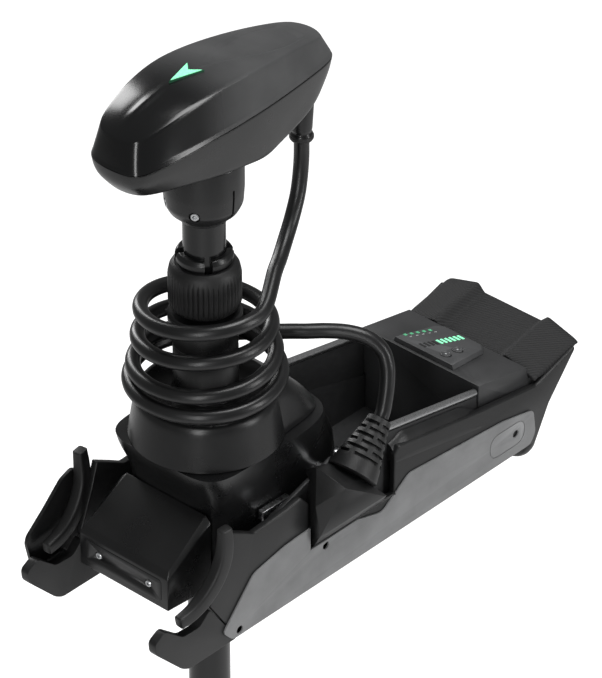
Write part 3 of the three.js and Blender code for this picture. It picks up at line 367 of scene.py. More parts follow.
def pad_material():
    """Rubber mat with a fine diagonal rib."""
    material, nodes, links, shader = shader_of("ribbed_rubber")
    where = nodes.new("ShaderNodeTexCoord")
    mapping = nodes.new("ShaderNodeMapping")
    mapping.inputs["Rotation"].default_value = (0.0, 0.0, math.radians(38))
    links.new(where.outputs["Object"], mapping.inputs["Vector"])
    ribs = nodes.new("ShaderNodeTexWave")
    ribs.inputs["Scale"].default_value = 130.0
    ribs.inputs["Distortion"].default_value = 0.4
    ribs.inputs["Detail"].default_value = 1.0
    links.new(mapping.outputs["Vector"], ribs.inputs["Vector"])
    tone = blended(nodes, links, ribs.outputs["Fac"], (0.006, 0.006, 0.0065), (0.017, 0.0172, 0.0178))
    # Convex edges lightened: wear and a painted edge highlight.
    links.new(scuffed_highlighted_edges(nodes, links, tone, (0.05, 0.05, 0.052), 0.6), shader.inputs["Base Color"])
    shader.inputs["Roughness"].default_value = 0.7
    links.new(bump(nodes, links, ribs.outputs["Fac"], 0.5, 0.0006), shader.inputs["Normal"])
    return material


LOOKS = {
    "black": moulded("black_moulding", (0.0085, 0.0087, 0.009), 0.4),
    "satin": moulded("satin_black", (0.0075, 0.0077, 0.008), 0.3, grain=700.0, depth=0.12),
    "gloss": moulded("gloss_black", (0.006, 0.0062, 0.0066), 0.16, grain=500.0, depth=0.04, scuff_highlight_amount=0.2),
    "grey": moulded("grey_moulding", (0.05, 0.051, 0.053), 0.42),
    "housing": moulded("housing_grey", (0.034, 0.0345, 0.0355), 0.4),
    "display": moulded("display_grey", (0.062, 0.063, 0.065), 0.36, depth=0.12),
    "accent": moulded("accent_paint", (0.215, 0.217, 0.22), 0.38, grain=1600.0, depth=0.18, scuff_highlight_amount=0.35),
    "cable": moulded("cable_jacket", (0.008, 0.0082, 0.0086), 0.32, grain=800.0, depth=0.15, scuff_highlight_amount=0.0),
    "rubber": moulded("soft_rubber", (0.008, 0.0081, 0.0084), 0.48, grain=650.0, depth=0.3),
    "composite": moulded("composite_tube", (0.007, 0.0072, 0.0076), 0.2, grain=500.0, depth=0.08, scuff_highlight_amount=0.0),
    "board": moulded("circuit_board", (0.012, 0.09, 0.035), 0.45, grain=1500.0, depth=0.6),
    "rail": metal("rail_metal", (0.5, 0.505, 0.51), 0.3, (14.0, 0.5, 14.0)),
    "channel": metal("channel_metal", (0.035, 0.0355, 0.0365), 0.45, (2.0, 0.5, 2.0), 0.1, 0.35),
    "steel": metal("machined_steel", (0.62, 0.63, 0.64), 0.28, (1.0, 1.0, 6.0)),
    "brass": metal("cut_brass", (0.6, 0.45, 0.2), 0.32, (1.0, 1.0, 5.0)),
    "copper": metal("wound_copper", (0.5, 0.23, 0.11), 0.4, (8.0, 0.6, 8.0), 0.8),
    "cover": head_cover_material(),
    "pad": pad_material(),
    "green": emitting_material("lit_green", (0.25, 0.85, 0.48), 0.9),
    "dim_green": emitting_material("dim_green", (0.1, 0.42, 0.22), 0.35),
    # Faint emitting plate round the arrow: a painted glow for light spread in the lens, not a lamp.
    "halo_painted_glow": emitting_material("arrow_halo_painted_glow", (0.012, 0.06, 0.03), 0.5),
    # White print given a faint emission: its own pale colour plus a painted glow.
    "white_print_painted_glow": emitting_material("pale_print_painted_glow", (0.5, 0.52, 0.52), 0.1),
}
SLOTS = {
    "black": "black_plastic", "satin": "black_plastic", "gloss": "gloss_black", "grey": "grey_plastic",
    "housing": "grey_plastic", "display": "grey_plastic", "accent": "accent_grey", "cable": "rubber",
    "rubber": "rubber", "composite": "composite", "board": "board", "rail": "rail", "channel": "channel",
    "steel": "steel", "brass": "brass", "copper": "copper", "cover": "gloss_black", "pad": "rubber",
    "green": "led", "dim_green": "led", "halo_painted_glow": "led", "white_print_painted_glow": "led",
}


# ---------------------------------------------------------------- mesh helpers
def body_of_node(node):
    return body_of(frame["nodes"][node])[0]


def new_object(name, verts, faces, look, smooth_angle=32.0):
    """A mesh object from points in millimetres measured from the shaft axis."""
    mesh = bpy.data.meshes.new(name)
    mesh.from_pydata([at(*v) for v in verts], [], faces)
    mesh.update()
    obj = bpy.data.objects.new(name, mesh)
    bpy.context.scene.collection.objects.link(obj)
    fix_normals(obj)
    dress(obj, look, smooth_angle)
    return obj


def fix_normals(obj):
    bm = bmesh.new()
    bm.from_mesh(obj.data)
    bmesh.ops.recalc_face_normals(bm, faces=bm.faces)
    bm.to_mesh(obj.data)
    bm.free()


def dress(obj, look, smooth_angle=32.0):
    obj.data.materials.clear()
    obj.data.materials.append(LOOKS[look])
    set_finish(obj, SLOTS[look])
    soften(obj, smooth_angle)


def soften(obj, angle):
    for face in obj.data.polygons:
        face.use_smooth = True
    obj.data.set_sharp_from_angle(angle=math.radians(angle))


def settle(obj, nodes, body=None):
    """The piece stands for the named CAD nodes and rides on their body."""
    if nodes:
        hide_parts(*nodes)
    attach(obj, body or body_of_node(nodes[0]))
    return obj


def apply_modifiers(obj):
    graph = bpy.context.evaluated_depsgraph_get()
    mesh = bpy.data.meshes.new_from_object(obj.evaluated_get(graph))
    obj.modifiers.clear()
    obj.data = mesh


def bevelled(obj, width, segments=3, angle=28.0, smooth_angle=40.0):
    modifier = obj.modifiers.new("edges", "BEVEL")
    modifier.width = width * MM
    modifier.segments = segments
    modifier.limit_method = "ANGLE"
    modifier.angle_limit = math.radians(angle)
    modifier.miter_outer = "MITER_ARC"
    apply_modifiers(obj)
    soften(obj, smooth_angle)
    return obj


def subdivided(obj, levels):
    modifier = obj.modifiers.new("smooth", "SUBSURF")
    modifier.levels = levels
    modifier.render_levels = levels
    apply_modifiers(obj)
    return obj


def carve(obj, *cutters, keep=False):
    for cutter in cutters:
        modifier = obj.modifiers.new("cut", "BOOLEAN")
        modifier.operation = "DIFFERENCE"
        modifier.solver = "EXACT"
        modifier.object = cutter
        apply_modifiers(obj)
        if not keep:
            bpy.data.objects.remove(cutter)
    return obj


def from_cad(node, look, bevel=0.8, segments=2, angle=28.0):
    """A detailed copy of a CAD node: coplanar faces merged and its edges rounded."""
    mesh = frame["nodes"][node].data.copy()
    bm = bmesh.new()
    bm.from_mesh(mesh)
    bmesh.ops.remove_doubles(bm, verts=bm.verts, dist=2e-6)
    bmesh.ops.dissolve_limit(bm, angle_limit=math.radians(1.0), verts=bm.verts, edges=bm.edges)
    bm.to_mesh(mesh)
    bm.free()
    obj = bpy.data.objects.new(node + "_finish", mesh)
    bpy.context.scene.collection.objects.link(obj)
    dress(obj, look)
    if bevel > 0:
        bevelled(obj, bevel, segments, angle)
    return settle(obj, [node])


def grid_faces(rows, columns, closed_columns=True, closed_rows=False):
    """Quads over rows of points, each row with the same number of points."""
    faces = []
    last_column = columns if closed_columns else columns - 1
    last_row = rows if closed_rows else rows - 1
    for i in range(last_row):
        for j in range(last_column):
            a, b = i * columns + j, i * columns + (j + 1) % columns
            c, d = ((i + 1) % rows) * columns + (j + 1) % columns, ((i + 1) % rows) * columns + j
            faces.append((a, b, c, d))
    return faces


def loft(name, rings, look, smooth_angle=32.0, caps=(True, True)):
    """A skin through closed rings of points, with flat ends."""
    count = len(rings[0])
    verts = [p for r in rings for p in r]
    faces = grid_faces(len(rings), count)
    if caps[0]:
        faces.append(tuple(range(count)))
    if caps[1]:
        start = (len(rings) - 1) * count
        faces.append(tuple(start + i for i in reversed(range(count))))
    return new_object(name, verts, faces, look, smooth_angle)


def circle(radius, z, count, centre=(0.0, 0.0)):
    return [(centre[0] + radius * math.cos(2 * math.pi * i / count),
             centre[1] + radius * math.sin(2 * math.pi * i / count), z) for i in range(count)]


def turned(name, profile, look, centre=(0.0, 0.0), segments=96, smooth_angle=25.0, closed=True):
    """A body turned about the vertical from (radius, z) points, hollow if the profile is."""
    rings = [circle(max(r, 0.01), z, segments, centre) for r, z in profile]
    verts = [p for r in rings for p in r]
    faces = grid_faces(len(rings), segments, True, closed)
    if not closed:
        faces.append(tuple(range(segments)))
        start = (len(rings) - 1) * segments
        faces.append(tuple(start + i for i in reversed(range(segments))))
    return new_object(name, verts, faces, look, smooth_angle)


def rounded_profile(points, radius, steps=4):
    """The corners of an open profile, each rounded by a short arc."""
    result = [points[0]]
    for before, corner, after in zip(points, points[1:], points[2:]):
        a, b, c = Vector(before), Vector(corner), Vector(after)
        reach = min(radius, (a - b).length / 2.05, (c - b).length / 2.05)
        start, end = b + (a - b).normalized() * reach, b + (c - b).normalized() * reach
        for k in range(steps + 1):
            t = k / steps
            result.append(tuple(start * (1 - t) ** 2 + b * 2 * t * (1 - t) + end * t ** 2))
    result.append(points[-1])
    return result


def smooth_path(points, spacing):
    """Points of a smooth curve through the given points, evenly about spacing apart."""
    points = [Vector(p) for p in points]
    ends = [points[0] * 2 - points[1], *points, points[-1] * 2 - points[-2]]
    fine = []
    for p0, p1, p2, p3 in zip(ends, ends[1:], ends[2:], ends[3:]):
        knots = [0.0]
        for a, b in ((p0, p1), (p1, p2), (p2, p3)):
            knots.append(knots[-1] + max((b - a).length, 1e-6) ** 0.5)
        for k in range(16):
            t = knots[1] + (knots[2] - knots[1]) * k / 16
            a1 = p0.lerp(p1, (t - knots[0]) / (knots[1] - knots[0]))
            a2 = p1.lerp(p2, (t - knots[1]) / (knots[2] - knots[1]))
            a3 = p2.lerp(p3, (t - knots[2]) / (knots[3] - knots[2]))
            b1 = a1.lerp(a2, (t - knots[0]) / (knots[2] - knots[0]))
            b2 = a2.lerp(a3, (t - knots[1]) / (knots[3] - knots[1]))
            fine.append(b1.lerp(b2, (t - knots[1]) / (knots[2] - knots[1])))
    fine.append(points[-1])
    return resampled(fine, spacing)


def resampled(points, spacing):
    lengths = [0.0]
    for a, b in zip(points, points[1:]):
        lengths.append(lengths[-1] + (b - a).length)
    count = max(2, round(lengths[-1] / spacing))
    result, k = [], 0
    for i in range(count + 1):
        wanted = lengths[-1] * i / count
        while k < len(points) - 2 and lengths[k + 1] < wanted:
            k += 1
        span = max(lengths[k + 1] - lengths[k], 1e-9)
        result.append(points[k].lerp(points[k + 1], (wanted - lengths[k]) / span))
    return result


def frames_along(points):
    """A (point, side, up) frame at each point, carried along without twisting."""
    tangents = []
    for i in range(len(points)):
        a, b = points[max(i - 1, 0)], points[min(i + 1, len(points) - 1)]
        tangents.append((b - a).normalized())
    reference = Vector((0, 0, 1)) if abs(tangents[0].z) < 0.9 else Vector((1, 0, 0))
    side = tangents[0].cross(reference).normalized()
    result = []
    for point, tangent in zip(points, tangents):
        side = (side - tangent * side.dot(tangent)).normalized()
        result.append((point, side, tangent.cross(side)))
    return result


def tube(name, points, section, look, caps=True, scale=None, smooth_angle=40.0):
    """A section of (side, up) points carried along a path; scale(t) sizes it on its way."""
    rings = []
    frames = frames_along(points)
    for i, (point, side, up) in enumerate(frames):
        k = scale(i / (len(frames) - 1)) if scale else 1.0
        rings.append([tuple(point + side * (u * k) + up * (v * k)) for u, v in section])
    return loft(name, rings, look, smooth_angle, (caps, caps))


def round_section(radius, sides=20):
    return [(radius * math.cos(2 * math.pi * i / sides), radius * math.sin(2 * math.pi * i / sides))
            for i in range(sides)]


def box_section(width, height, radius):
    """A rectangle with round corners."""
    section = []
    for cx, cy, start in ((1, 1, 0), (-1, 1, 90), (-1, -1, 180), (1, -1, 270)):
        for k in range(4):
            angle = math.radians(start + 30 * k)
            section.append((cx * (width / 2 - radius) + radius * math.cos(angle),
                            cy * (height / 2 - radius) + radius * math.sin(angle)))
    return section


def block(name, x, y, z, look, bevel=0.0):
    """A box given by its (low, high) in each direction, with rounded edges."""
    verts = [(x[i], y[j], z[k]) for i in (0, 1) for j in (0, 1) for k in (0, 1)]
    faces = [(0, 1, 3, 2), (4, 6, 7, 5), (0, 4, 5, 1), (2, 3, 7, 6), (0, 2, 6, 4), (1, 5, 7, 3)]
    obj = new_object(name, verts, faces, look)
    return bevelled(obj, bevel) if bevel > 0 else obj


def prism(name, outline, low, high, axis, look, bevel=0.0):
    """An outline of two coordinates carried along the third axis ('x', 'y' or 'z')."""
    def place(p, level):
        return {"x": (level, *p), "y": (p[0], level, p[1]), "z": (*p, level)}[axis]
    verts = [place(p, level) for level in (low, high) for p in outline]
    count = len(outline)
    faces = grid_faces(2, count)
    faces += [tuple(range(count)), tuple(range(2 * count - 1, count - 1, -1))]
    obj = new_object(name, verts, faces, look)
    return bevelled(obj, bevel) if bevel > 0 else obj


def rod(name, start, end, radius, look, bevel=0.0, segments=32):
    points = [Vector(start), Vector(end)]
    obj = tube(name, points, round_section(radius, segments), look)
    return bevelled(obj, bevel, 3, 50.0) if bevel > 0 else obj


def joined(name, *objects):
    """One object from several, keeping the first one's look."""
    bm = bmesh.new()
    for obj in objects:
        bm.from_mesh(obj.data)
    mesh = bpy.data.meshes.new(name)
    bm.to_mesh(mesh)
    bm.free()
    result = bpy.data.objects.new(name, mesh)
    bpy.context.scene.collection.objects.link(result)
    mesh.materials.append(objects[0].data.materials[0])
    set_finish(result, objects[0]["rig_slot"])
    for obj in objects:
        bpy.data.objects.remove(obj)
    return result


def interpolate(table, y):
    """Smooth reading of a table of (y, value) rows."""
    if y <= table[0][0]:
        return table[0][1]
    for (y0, v0), (y1, v1) in zip(table, table[1:]):
        if y <= y1:
            t = (y - y0) / (y1 - y0)
            return v0 + (v1 - v0) * t
    return table[-1][1]


def smoothstep(low, high, value):
    t = min(max((value - low) / (high - low), 0.0), 1.0)
    return t * t * (3 - 2 * t)


def rail_z(y):
    return RAIL_Z - RAIL_SLOPE * y


# ---------------------------------------------------------------- cords
DROP_POINTS = [
    (0, 124, 404.6), (0, 124, 388), (0.6, 122, 372), (3, 116, 354), (8, 103, 337), (16, 85, 324),
    (25, 68, 317.5), (32, 55, 315),
]
COIL_TURNS = [
    (0.0, 303, 60), (0.228, 300, 59), (0.55, 288, 60), (0.75, 276, 61), (1.228, 271, 61.8), (1.73, 253, 64),
    (2.228, 238, 66.6), (2.73, 228, 69), (3.228, 220, 71.4), (3.73, 216, 71.4),
]
COIL_START = math.radians(35.3)
TAIL_POINTS = [
    (3, 100, 216), (16, 112, 216), (29, 125, 216), (45, 138, 215), (60, 148, 210), (71, 153, 200),
    (77, 152.5, 188), (80, 150, 175), (82, 146, 162), (83.5, 140.5, 147), (84.2, 137, 142.2),
]
POWER_POINTS = [
    (60, 373.1, 12.5), (60, 376, 8.6), (60, 377.5, 0), (59.5, 378, -12), (56, 378, -26), (47, 378, -37),
    (33, 377.5, -42), (15, 376.5, -41), (-8, 375.3, -38.5),
]
POWER_COIL_CENTRE = (-50.0, 312.0)
POWER_COIL_R = 60.0
POWER_COIL_TOP = -37.6
POWER_PITCH = 12.25
POWER_SWEEP = (math.radians(84), math.radians(855))
POWER_END = [(-108, 331, -64.8), (-110, 318, -67)]


def coil_points():
    """Centreline of the turns, clockwise as seen from above."""
    points = []
    steps = 120
    turns = COIL_TURNS[-1][0]
    for i in range(steps + 1):
        t = turns * i / steps
        angle = COIL_START - 2 * math.pi * t
        z = interpolate([(row[0], row[1]) for row in COIL_TURNS], t)
        radius = interpolate([(row[0], row[2]) for row in COIL_TURNS], t)
        points.append((radius * math.cos(angle), radius * math.sin(angle), z))
    return relaxed(points)


def relaxed(points, rounds=6):
    """The same run of points with its kinks smoothed out."""
    run = [Vector(p) for p in points]
    for _ in range(rounds):
        middle = [run[i] * 0.5 + (run[i - 1] + run[i + 1]) * 0.25 for i in range(1, len(run) - 1)]
        run = [run[0], *middle, run[-1]]
    return run


def make_coil_cable():
    """One run of cable in three pieces: the drop, the turns and the tail into the boot."""
    coil = coil_points()
    route = smooth_path([*DROP_POINTS, *[tuple(p) for p in coil[2:-1:2]], *TAIL_POINTS], 3.0)
    drop_end = min(range(len(route) // 3), key=lambda i: (route[i] - Vector(DROP_POINTS[-1])).length)
    tail_start = min(range(len(route)), key=lambda i: (route[i] - Vector(coil[-1])).length)
    spans = [
        ("coil_cable_drop_run", 0, drop_end, "coil_cable_drop", "shaft", "steering",
         (0, 124, 395), (32, 55, 315)),
        ("coil_cable_turns", drop_end, tail_start, "coil_cable", "steering", "tower",
         (0, 0, 300), (0, 0, 218)),
        ("coil_cable_tail_run", tail_start, len(route) - 1, "coil_cable_tail", "tower", "base",
         (-30, 70, 216), (84.2, 137, 142.2)),
    ]
    for name, first, last, node, start_body, end_body, start, end in spans:
        points = route[first:last + 1]
        piece = tube(name, points, round_section(CABLE_R, 20), "cable")
        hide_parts(node)
        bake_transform(piece, start_body, end_body, at(*start), at(*end))


def make_power_cable():
    turns = []
    steps = 64
    first, last = POWER_SWEEP
    for i in range(steps + 1):
        angle = first + (last - first) * i / steps
        z = POWER_COIL_TOP - POWER_PITCH * (angle - first) / (2 * math.pi)
        turns.append((POWER_COIL_CENTRE[0] + POWER_COIL_R * math.cos(angle),
                      POWER_COIL_CENTRE[1] + POWER_COIL_R * math.sin(angle), z))
    route = smooth_path([*POWER_POINTS, *turns, *POWER_END], 3.0)
    cable = tube("power_cable_run", route, round_section(POWER_R, 16), "cable")
    settle(cable, ["power_cable", "power_coil", "power_cable_end"])
    x, y, z = POWER_END[-1]
    profile = [(0, 1.2), (8.2, 1.2), (9, 3), (9, 13), (12, 16), (12, 38), (11, 40), (11, 45), (10, 46.5),
               (0, 46.5)]
    plug = turned("power_plug_body", rounded_profile(profile, 1.2), "black", segments=48, closed=False)
    lay_down(plug, (x, y, z - 2))
    settle(plug, ["power_plug"])
    ribs = joined("power_plug_grip", *[
        turned(f"grip_{i}", [(8.5, 4 + 3 * i), (10, 4.4 + 3 * i), (10, 5.4 + 3 * i), (8.5, 5.8 + 3 * i)],
               "rubber", segments=48) for i in range(3)])
    lay_down(ribs, (x, y, z - 2))
    settle(ribs, [], "base")
    tie_x, tie_y = POWER_COIL_CENTRE[0], POWER_COIL_CENTRE[1] - POWER_COIL_R
    low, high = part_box("power_tie")
    middle = (low.z + high.z) / 2 / MM
    band = [(tie_x, tie_y + u, middle + v) for u, v in box_section(16.5, 27.0, 6.5)]
    inner = [(tie_x, tie_y + u, middle + v) for u, v in box_section(14.6, 25.2, 5.6)]
    rings = [[(p[0] + dx, p[1], p[2]) for p in row] for dx, row in
             ((-4, inner), (-4, band), (4, band), (4, inner))]
    tie = new_object("power_cable_tie", [p for r in rings for p in r],
                     grid_faces(4, len(band), True, True), "rubber")
    settle(tie, ["power_tie"])
    gland = from_cad("power_gland", "black", 0.8, 3, 50.0)


def lay_down(obj, place):
    """Turns a body made upright on the shaft axis so that it points along -Y from a place."""
    x, y, z = place
    move = Matrix.Translation(at(x, y, z)) @ Matrix.Rotation(math.radians(90), 4, "X")
    obj.data.transform(move @ Matrix.Translation(-at(0, 0, 0)))


# ---------------------------------------------------------------- head
# Half outlines from bow to stern as (half width, y, z), row for row.
HEAD_SEAM = [(24, -111, 484), (32, -103, 485), (37.5, -82, 487.5), (41, -52, 490), (43, -18, 492),
             (42, 18, 492), (38, 56, 491), (32, 96, 490), (25.5, 130, 488.5), (19, 145, 488)]
HEAD_CHAMFER = [(23.5, -110, 488), (31, -102, 489), (36.2, -81, 491.5), (39.6, -52, 494), (41.6, -18, 496),
                (40.6, 18, 496), (36.6, 56, 495), (30.6, 96, 494), (24.2, 129, 492.5), (18, 143.5, 492)]
HEAD_CREASE = [(17, -105, 512), (24, -100, 514), (29.5, -86, 519), (34.5, -60, 527), (39, -20, 533.5),
               (37, 25, 530.5), (32.5, 58, 527), (28, 86, 523), (22.5, 120, 516), (17, 131, 513)]
HEAD_BELLY = [(15, -99, 457), (22, -93, 456), (29, -70, 454), (35, -42, 452), (37, -12, 447), (35, 20, 441),
              (31, 48, 434), (28, 66, 438), (25, 106, 447), (18, 132, 459)]
HEAD_CROWN = [(-103, 516), (-86, 524), (-60, 532), (-38, 536.5), (-10, 537), (25, 534.5), (58, 531),
              (86, 527.5), (120, 520), (131, 516)]
ARROW = [(0, -38), (8.4, -9.2), (0, -17), (-8.4, -9.2)]
HEAD_ROWS = len(HEAD_SEAM)
CROSS = (0.55, 0.0, -0.55)      # shares of the half width across the blunt ends


def head_loop(rows, front, rear, inset=0.0):
    """A closed loop: the right side from bow to stern, across the rear, back along the left."""
    right = [(x - inset, y, z) for x, y, z in rows]
    left = [(-x, y, z) for x, y, z in reversed(right)]
    x0, y0, z0 = right[0]
    x1, y1, z1 = right[-1]
    across_rear = [(x1 * share, y1 + rear * (1 - share ** 2), z1) for share in CROSS]
    across_front = [(-x0 * share, y0 - front * (1 - share ** 2), z0) for share in CROSS]
    return [*right, *across_rear, *left, *across_front]


def head_shell(name, loops, cap_heights, sharpness, look):
    """A cage of loops closed by a grid over the last one, subdivided smooth."""
    count = len(loops[0])
    verts = [p for loop in loops for p in loop]
    faces = grid_faces(len(loops), count)
    start = (len(loops) - 1) * count
    last = loops[-1]
    grid = []
    for i in range(HEAD_ROWS):
        right, left = start + i, start + 2 * HEAD_ROWS + len(CROSS) - 1 - i
        if i == 0:
            inner = [start + count - 1 - k for k in range(len(CROSS))]
        elif i == HEAD_ROWS - 1:
            inner = [start + HEAD_ROWS + k for k in range(len(CROSS))]
        else:
            x, y, z = last[i]
            inner = []
            for share in CROSS:
                inner.append(len(verts))
                verts.append((x * share, y, z + (interpolate(cap_heights, y) - z) * (1 - share ** 2)))
        grid.append([right, *inner, left])
    for row, following in zip(grid, grid[1:]):
        for k in range(len(row) - 1):
            faces.append((row[k], row[k + 1], following[k + 1], following[k]))
    obj = new_object(name, verts, faces, look)
    crease_loops(obj, [len(loop) for loop in loops], sharpness)
    subdivided(obj, 3)
    soften(obj, 60)
    return obj


def crease_loops(obj, counts, sharpness):
    """Sets how sharp each loop of the cage stays when it is subdivided."""
    bm = bmesh.new()
    bm.from_mesh(obj.data)
    layer = bm.edges.layers.float.get("crease_edge") or bm.edges.layers.float.new("crease_edge")
    bm.verts.ensure_lookup_table()
    first = 0
    for count, value in zip(counts, sharpness):
        for i in range(count):
            edge = bm.edges.get((bm.verts[first + i], bm.verts[first + (i + 1) % count]))
            if edge is not None:
                edge[layer] = value
        first += count
    bm.to_mesh(obj.data)
    bm.free()


def press_recess(obj):
    """A shallow teardrop recess in the rear of the cover, and a soft keel in front of the arrow."""
    for vertex in obj.data.vertices:
        x, y, z = vertex.co.x / MM, vertex.co.y / MM + DECK_CENTRE_Y, vertex.co.z / MM
        if z < 508:
            continue
        half = 21 * smoothstep(-16, 78, y) ** 0.8 * (1 - 0.25 * smoothstep(80, 118, y))
        if half > 0.5:
            inside = 1 - smoothstep(half - 2.2, half + 1.2, abs(x))
            inside *= smoothstep(-14, 6, y) * (1 - smoothstep(106, 111, y))
            vertex.co.z -= 1.7 * inside * MM
        keel = (1 - smoothstep(0.5, 6.0, abs(x))) * smoothstep(-100, -80, y) * (1 - smoothstep(-46, -36, y))
        vertex.co.z += 0.9 * keel * MM


def split_lens(cover):
    """Takes the front of the cover's top as the gloss lens, a piece of its own."""
    bm = bmesh.new()
    bm.from_mesh(cover.data)
    crease = [(y, x) for x, y, _ in HEAD_CREASE]
    taken = []
    for face in bm.faces:
        middle = face.calc_center_median()
        x, y = middle.x / MM, middle.y / MM + DECK_CENTRE_Y
        if y < 20 and face.normal.z > 0.6 and middle.z / MM > 505 and abs(x) < interpolate(crease, y) - 0.5:
            taken.append(face)
    lens_mesh = bpy.data.meshes.new("head_lens_glass")
    chosen = set(taken)
    other = bm.copy()
    other.faces.ensure_lookup_table()
    index = {face.index for face in chosen}
    bmesh.ops.delete(other, geom=[f for f in other.faces if f.index not in index], context="FACES")
    other.to_mesh(lens_mesh)
    other.free()
    bmesh.ops.delete(bm, geom=taken, context="FACES")
    bm.to_mesh(cover.data)
    bm.free()
    lens = bpy.data.objects.new("head_lens_glass", lens_mesh)
    bpy.context.scene.collection.objects.link(lens)
    dress(lens, "cover", 60)
    modifier = lens.modifiers.new("thick", "SOLIDIFY")
    modifier.thickness = 1.4 * MM
    modifier.offset = -1.0
    apply_modifiers(lens)
    soften(lens, 50)
    return lens


def cover_height(x, y):
    """Height of the cover's top over a place, from its crown and crease."""
    edge = interpolate([(row[1], row[0]) for row in HEAD_CREASE], y)
    low = interpolate([(row[1], row[2]) for row in HEAD_CREASE], y)
    crown = interpolate(HEAD_CROWN, y)
    return low + (crown - low) * (1 - (x / edge) ** 2)


def make_arrow():
    """The lit heading arrow, a thin plate let into the lens, with a painted glow round it: a faintly emitting
    plate standing in for light spread in the lens.
    """
    def plate(name, grow, lift, look):
        centre = Vector((0, -19))
        outline = []
        for x, y in ARROW:
            p = Vector((x, y))
            q = p + (p - centre).normalized() * grow
            outline.append((q.x, q.y))
        verts = [(x, y, cover_height(x, y) - 2.5) for x, y in outline]
        verts += [(x, y, cover_height(x, y) + lift) for x, y in outline]
        faces = [(0, 1, 2), (0, 2, 3), (4, 6, 5), (4, 7, 6), *grid_faces(2, 4)]
        return new_object(name, verts, faces, look)
    settle(plate("heading_arrow_light", 0, 0.5, "green"), ["heading_arrow"])
    # Painted glow: an emitting plate round the arrow, not a lamp.
    settle(plate("heading_arrow_painted_halo", 2.2, 0.15, "halo_painted_glow"), [], "shaft")


def make_head():
    lower_loops = [
        head_loop(HEAD_SEAM, 4, 5, 2.4), head_loop(HEAD_SEAM, 4, 5),
        head_loop([(x - 1.5, y * 0.985, z - 14) for x, y, z in HEAD_SEAM], 4, 4),
        head_loop(HEAD_BELLY, 3, 3),
        head_loop([(x - 5, y * 0.95, z - 2.2) for x, y, z in HEAD_BELLY], 1, 1),
    ]
    belly = [(row[1], row[2] - 3) for row in HEAD_BELLY]
    drop = SEAM_GAP / 2
    lower_loops[:2] = [[(x, y, z - drop) for x, y, z in loop] for loop in lower_loops[:2]]
    lower = head_shell("head_lower_shell", lower_loops, belly, [1, 0.95, 0.1, 0.5, 0.0], "satin")
    settle(lower, ["head_lower_housing"])
    upper_loops = [
        head_loop(HEAD_SEAM, 4, 5, 2.4), head_loop(HEAD_SEAM, 4, 5), head_loop(HEAD_CHAMFER, 4, 5),
        head_loop([(a[0] * 0.55 + b[0] * 0.45, a[1] * 0.55 + b[1] * 0.45, a[2] * 0.55 + b[2] * 0.45)
                   for a, b in zip(HEAD_CHAMFER, HEAD_CREASE)], 4, 5),
        head_loop(HEAD_CREASE, 3, 5),
    ]
    upper_loops[:2] = [[(x, y, z + drop) for x, y, z in loop] for loop in upper_loops[:2]]
    upper = head_shell("head_top_shell", upper_loops, HEAD_CROWN, [1, 0.95, 0.8, 0.0, 0.55], "cover")
    press_recess(upper)
    lens = split_lens(upper)
    settle(upper, ["head_top_cover"])
    settle(lens, ["head_lens"])
    make_arrow()


GLAND_Y = 124.0


def make_gland():
    bore = CABLE_R + 0.3
    profile = [(bore, 405), (10.3, 405), (10.3, 411), (8.6, 413), (9.6, 416), (11.6, 452), (bore, 452)]
    gland = turned("head_cable_gland", rounded_profile(profile, 1.0), "satin", (0.0, GLAND_Y), 64)
    settle(gland, ["head_gland"])
    rib_profile = [(10.2, 406), (11.0, 407), (11.0, 409), (10.2, 410)]
    rib = turned("head_gland_rib", rib_profile, "rubber", (0.0, GLAND_Y), 64)
    settle(rib, [], "shaft")


COLLAR_ANGLES = (-60.0, -120.0)
COLLAR_SCREW_Z = 403.0
COLLAR_R = 35.5


def polar(radius, degrees, z):
    angle = math.radians(degrees)
    return (radius * math.cos(angle), radius * math.sin(angle), z)


def make_collar():
    bore = SHAFT_R + 0.2
    profile = [(bore, 384), (22, 384), (23, 388), (30.5, 393), (34.4, 401), (COLLAR_R, 416),
               (COLLAR_R, 446), (bore, 446)]
    collar = turned("head_clamp_collar", rounded_profile(profile, 2.2), "satin", segments=128)
    cutters = [block("slit", (10, 50), (-1.1, 1.1), (380, 424), "black")]
    for angle in COLLAR_ANGLES:
        start, end = polar(30.5, angle, COLLAR_SCREW_Z), polar(60, angle, COLLAR_SCREW_Z)
        cutters.append(rod("seat", start, end, 5.2, "black"))
    carve(collar, *cutters)
    soften(collar, 30)
    settle(collar, ["head_collar"])
    for i, angle in enumerate(COLLAR_ANGLES):
        screw = screw_head(f"collar_screw_head_{i + 1}", polar(30.8, angle, COLLAR_SCREW_Z),
                           polar(1, angle, 0)[:2] + (0,), 3.9, 3.4)
        settle(screw, [f"collar_screw_{i + 1}"])


def screw_head(name, place, direction, radius, height):
    """A cap screw with a chamfered rim and a hexagon socket."""
    axis = Vector(direction).normalized()
    start = Vector(place)
    rings = []
    frames = frames_along([start, start + axis])
    _, side, up = frames[0]
    socket = 0.52 * radius
    stations = [(0.0, radius), (height - 0.6, radius), (height, radius - 0.6), (height, socket + 0.15)]
    for level, r in stations:
        rings.append([tuple(start + axis * level + side * (r * math.cos(a)) + up * (r * math.sin(a)))
                      for a in (2 * math.pi * k / 36 for k in range(36))])
    for level in (height, height * 0.4):
        ring = []
        for k in range(36):
            a = 2 * math.pi * k / 36
            r = socket * math.cos(math.pi / 6) / math.cos((a % (math.pi / 3)) - math.pi / 6)
            ring.append(tuple(start + axis * level + side * (r * math.cos(a)) + up * (r * math.sin(a))))
        rings.append(ring)
    return loft(name, rings, "steel", 30)


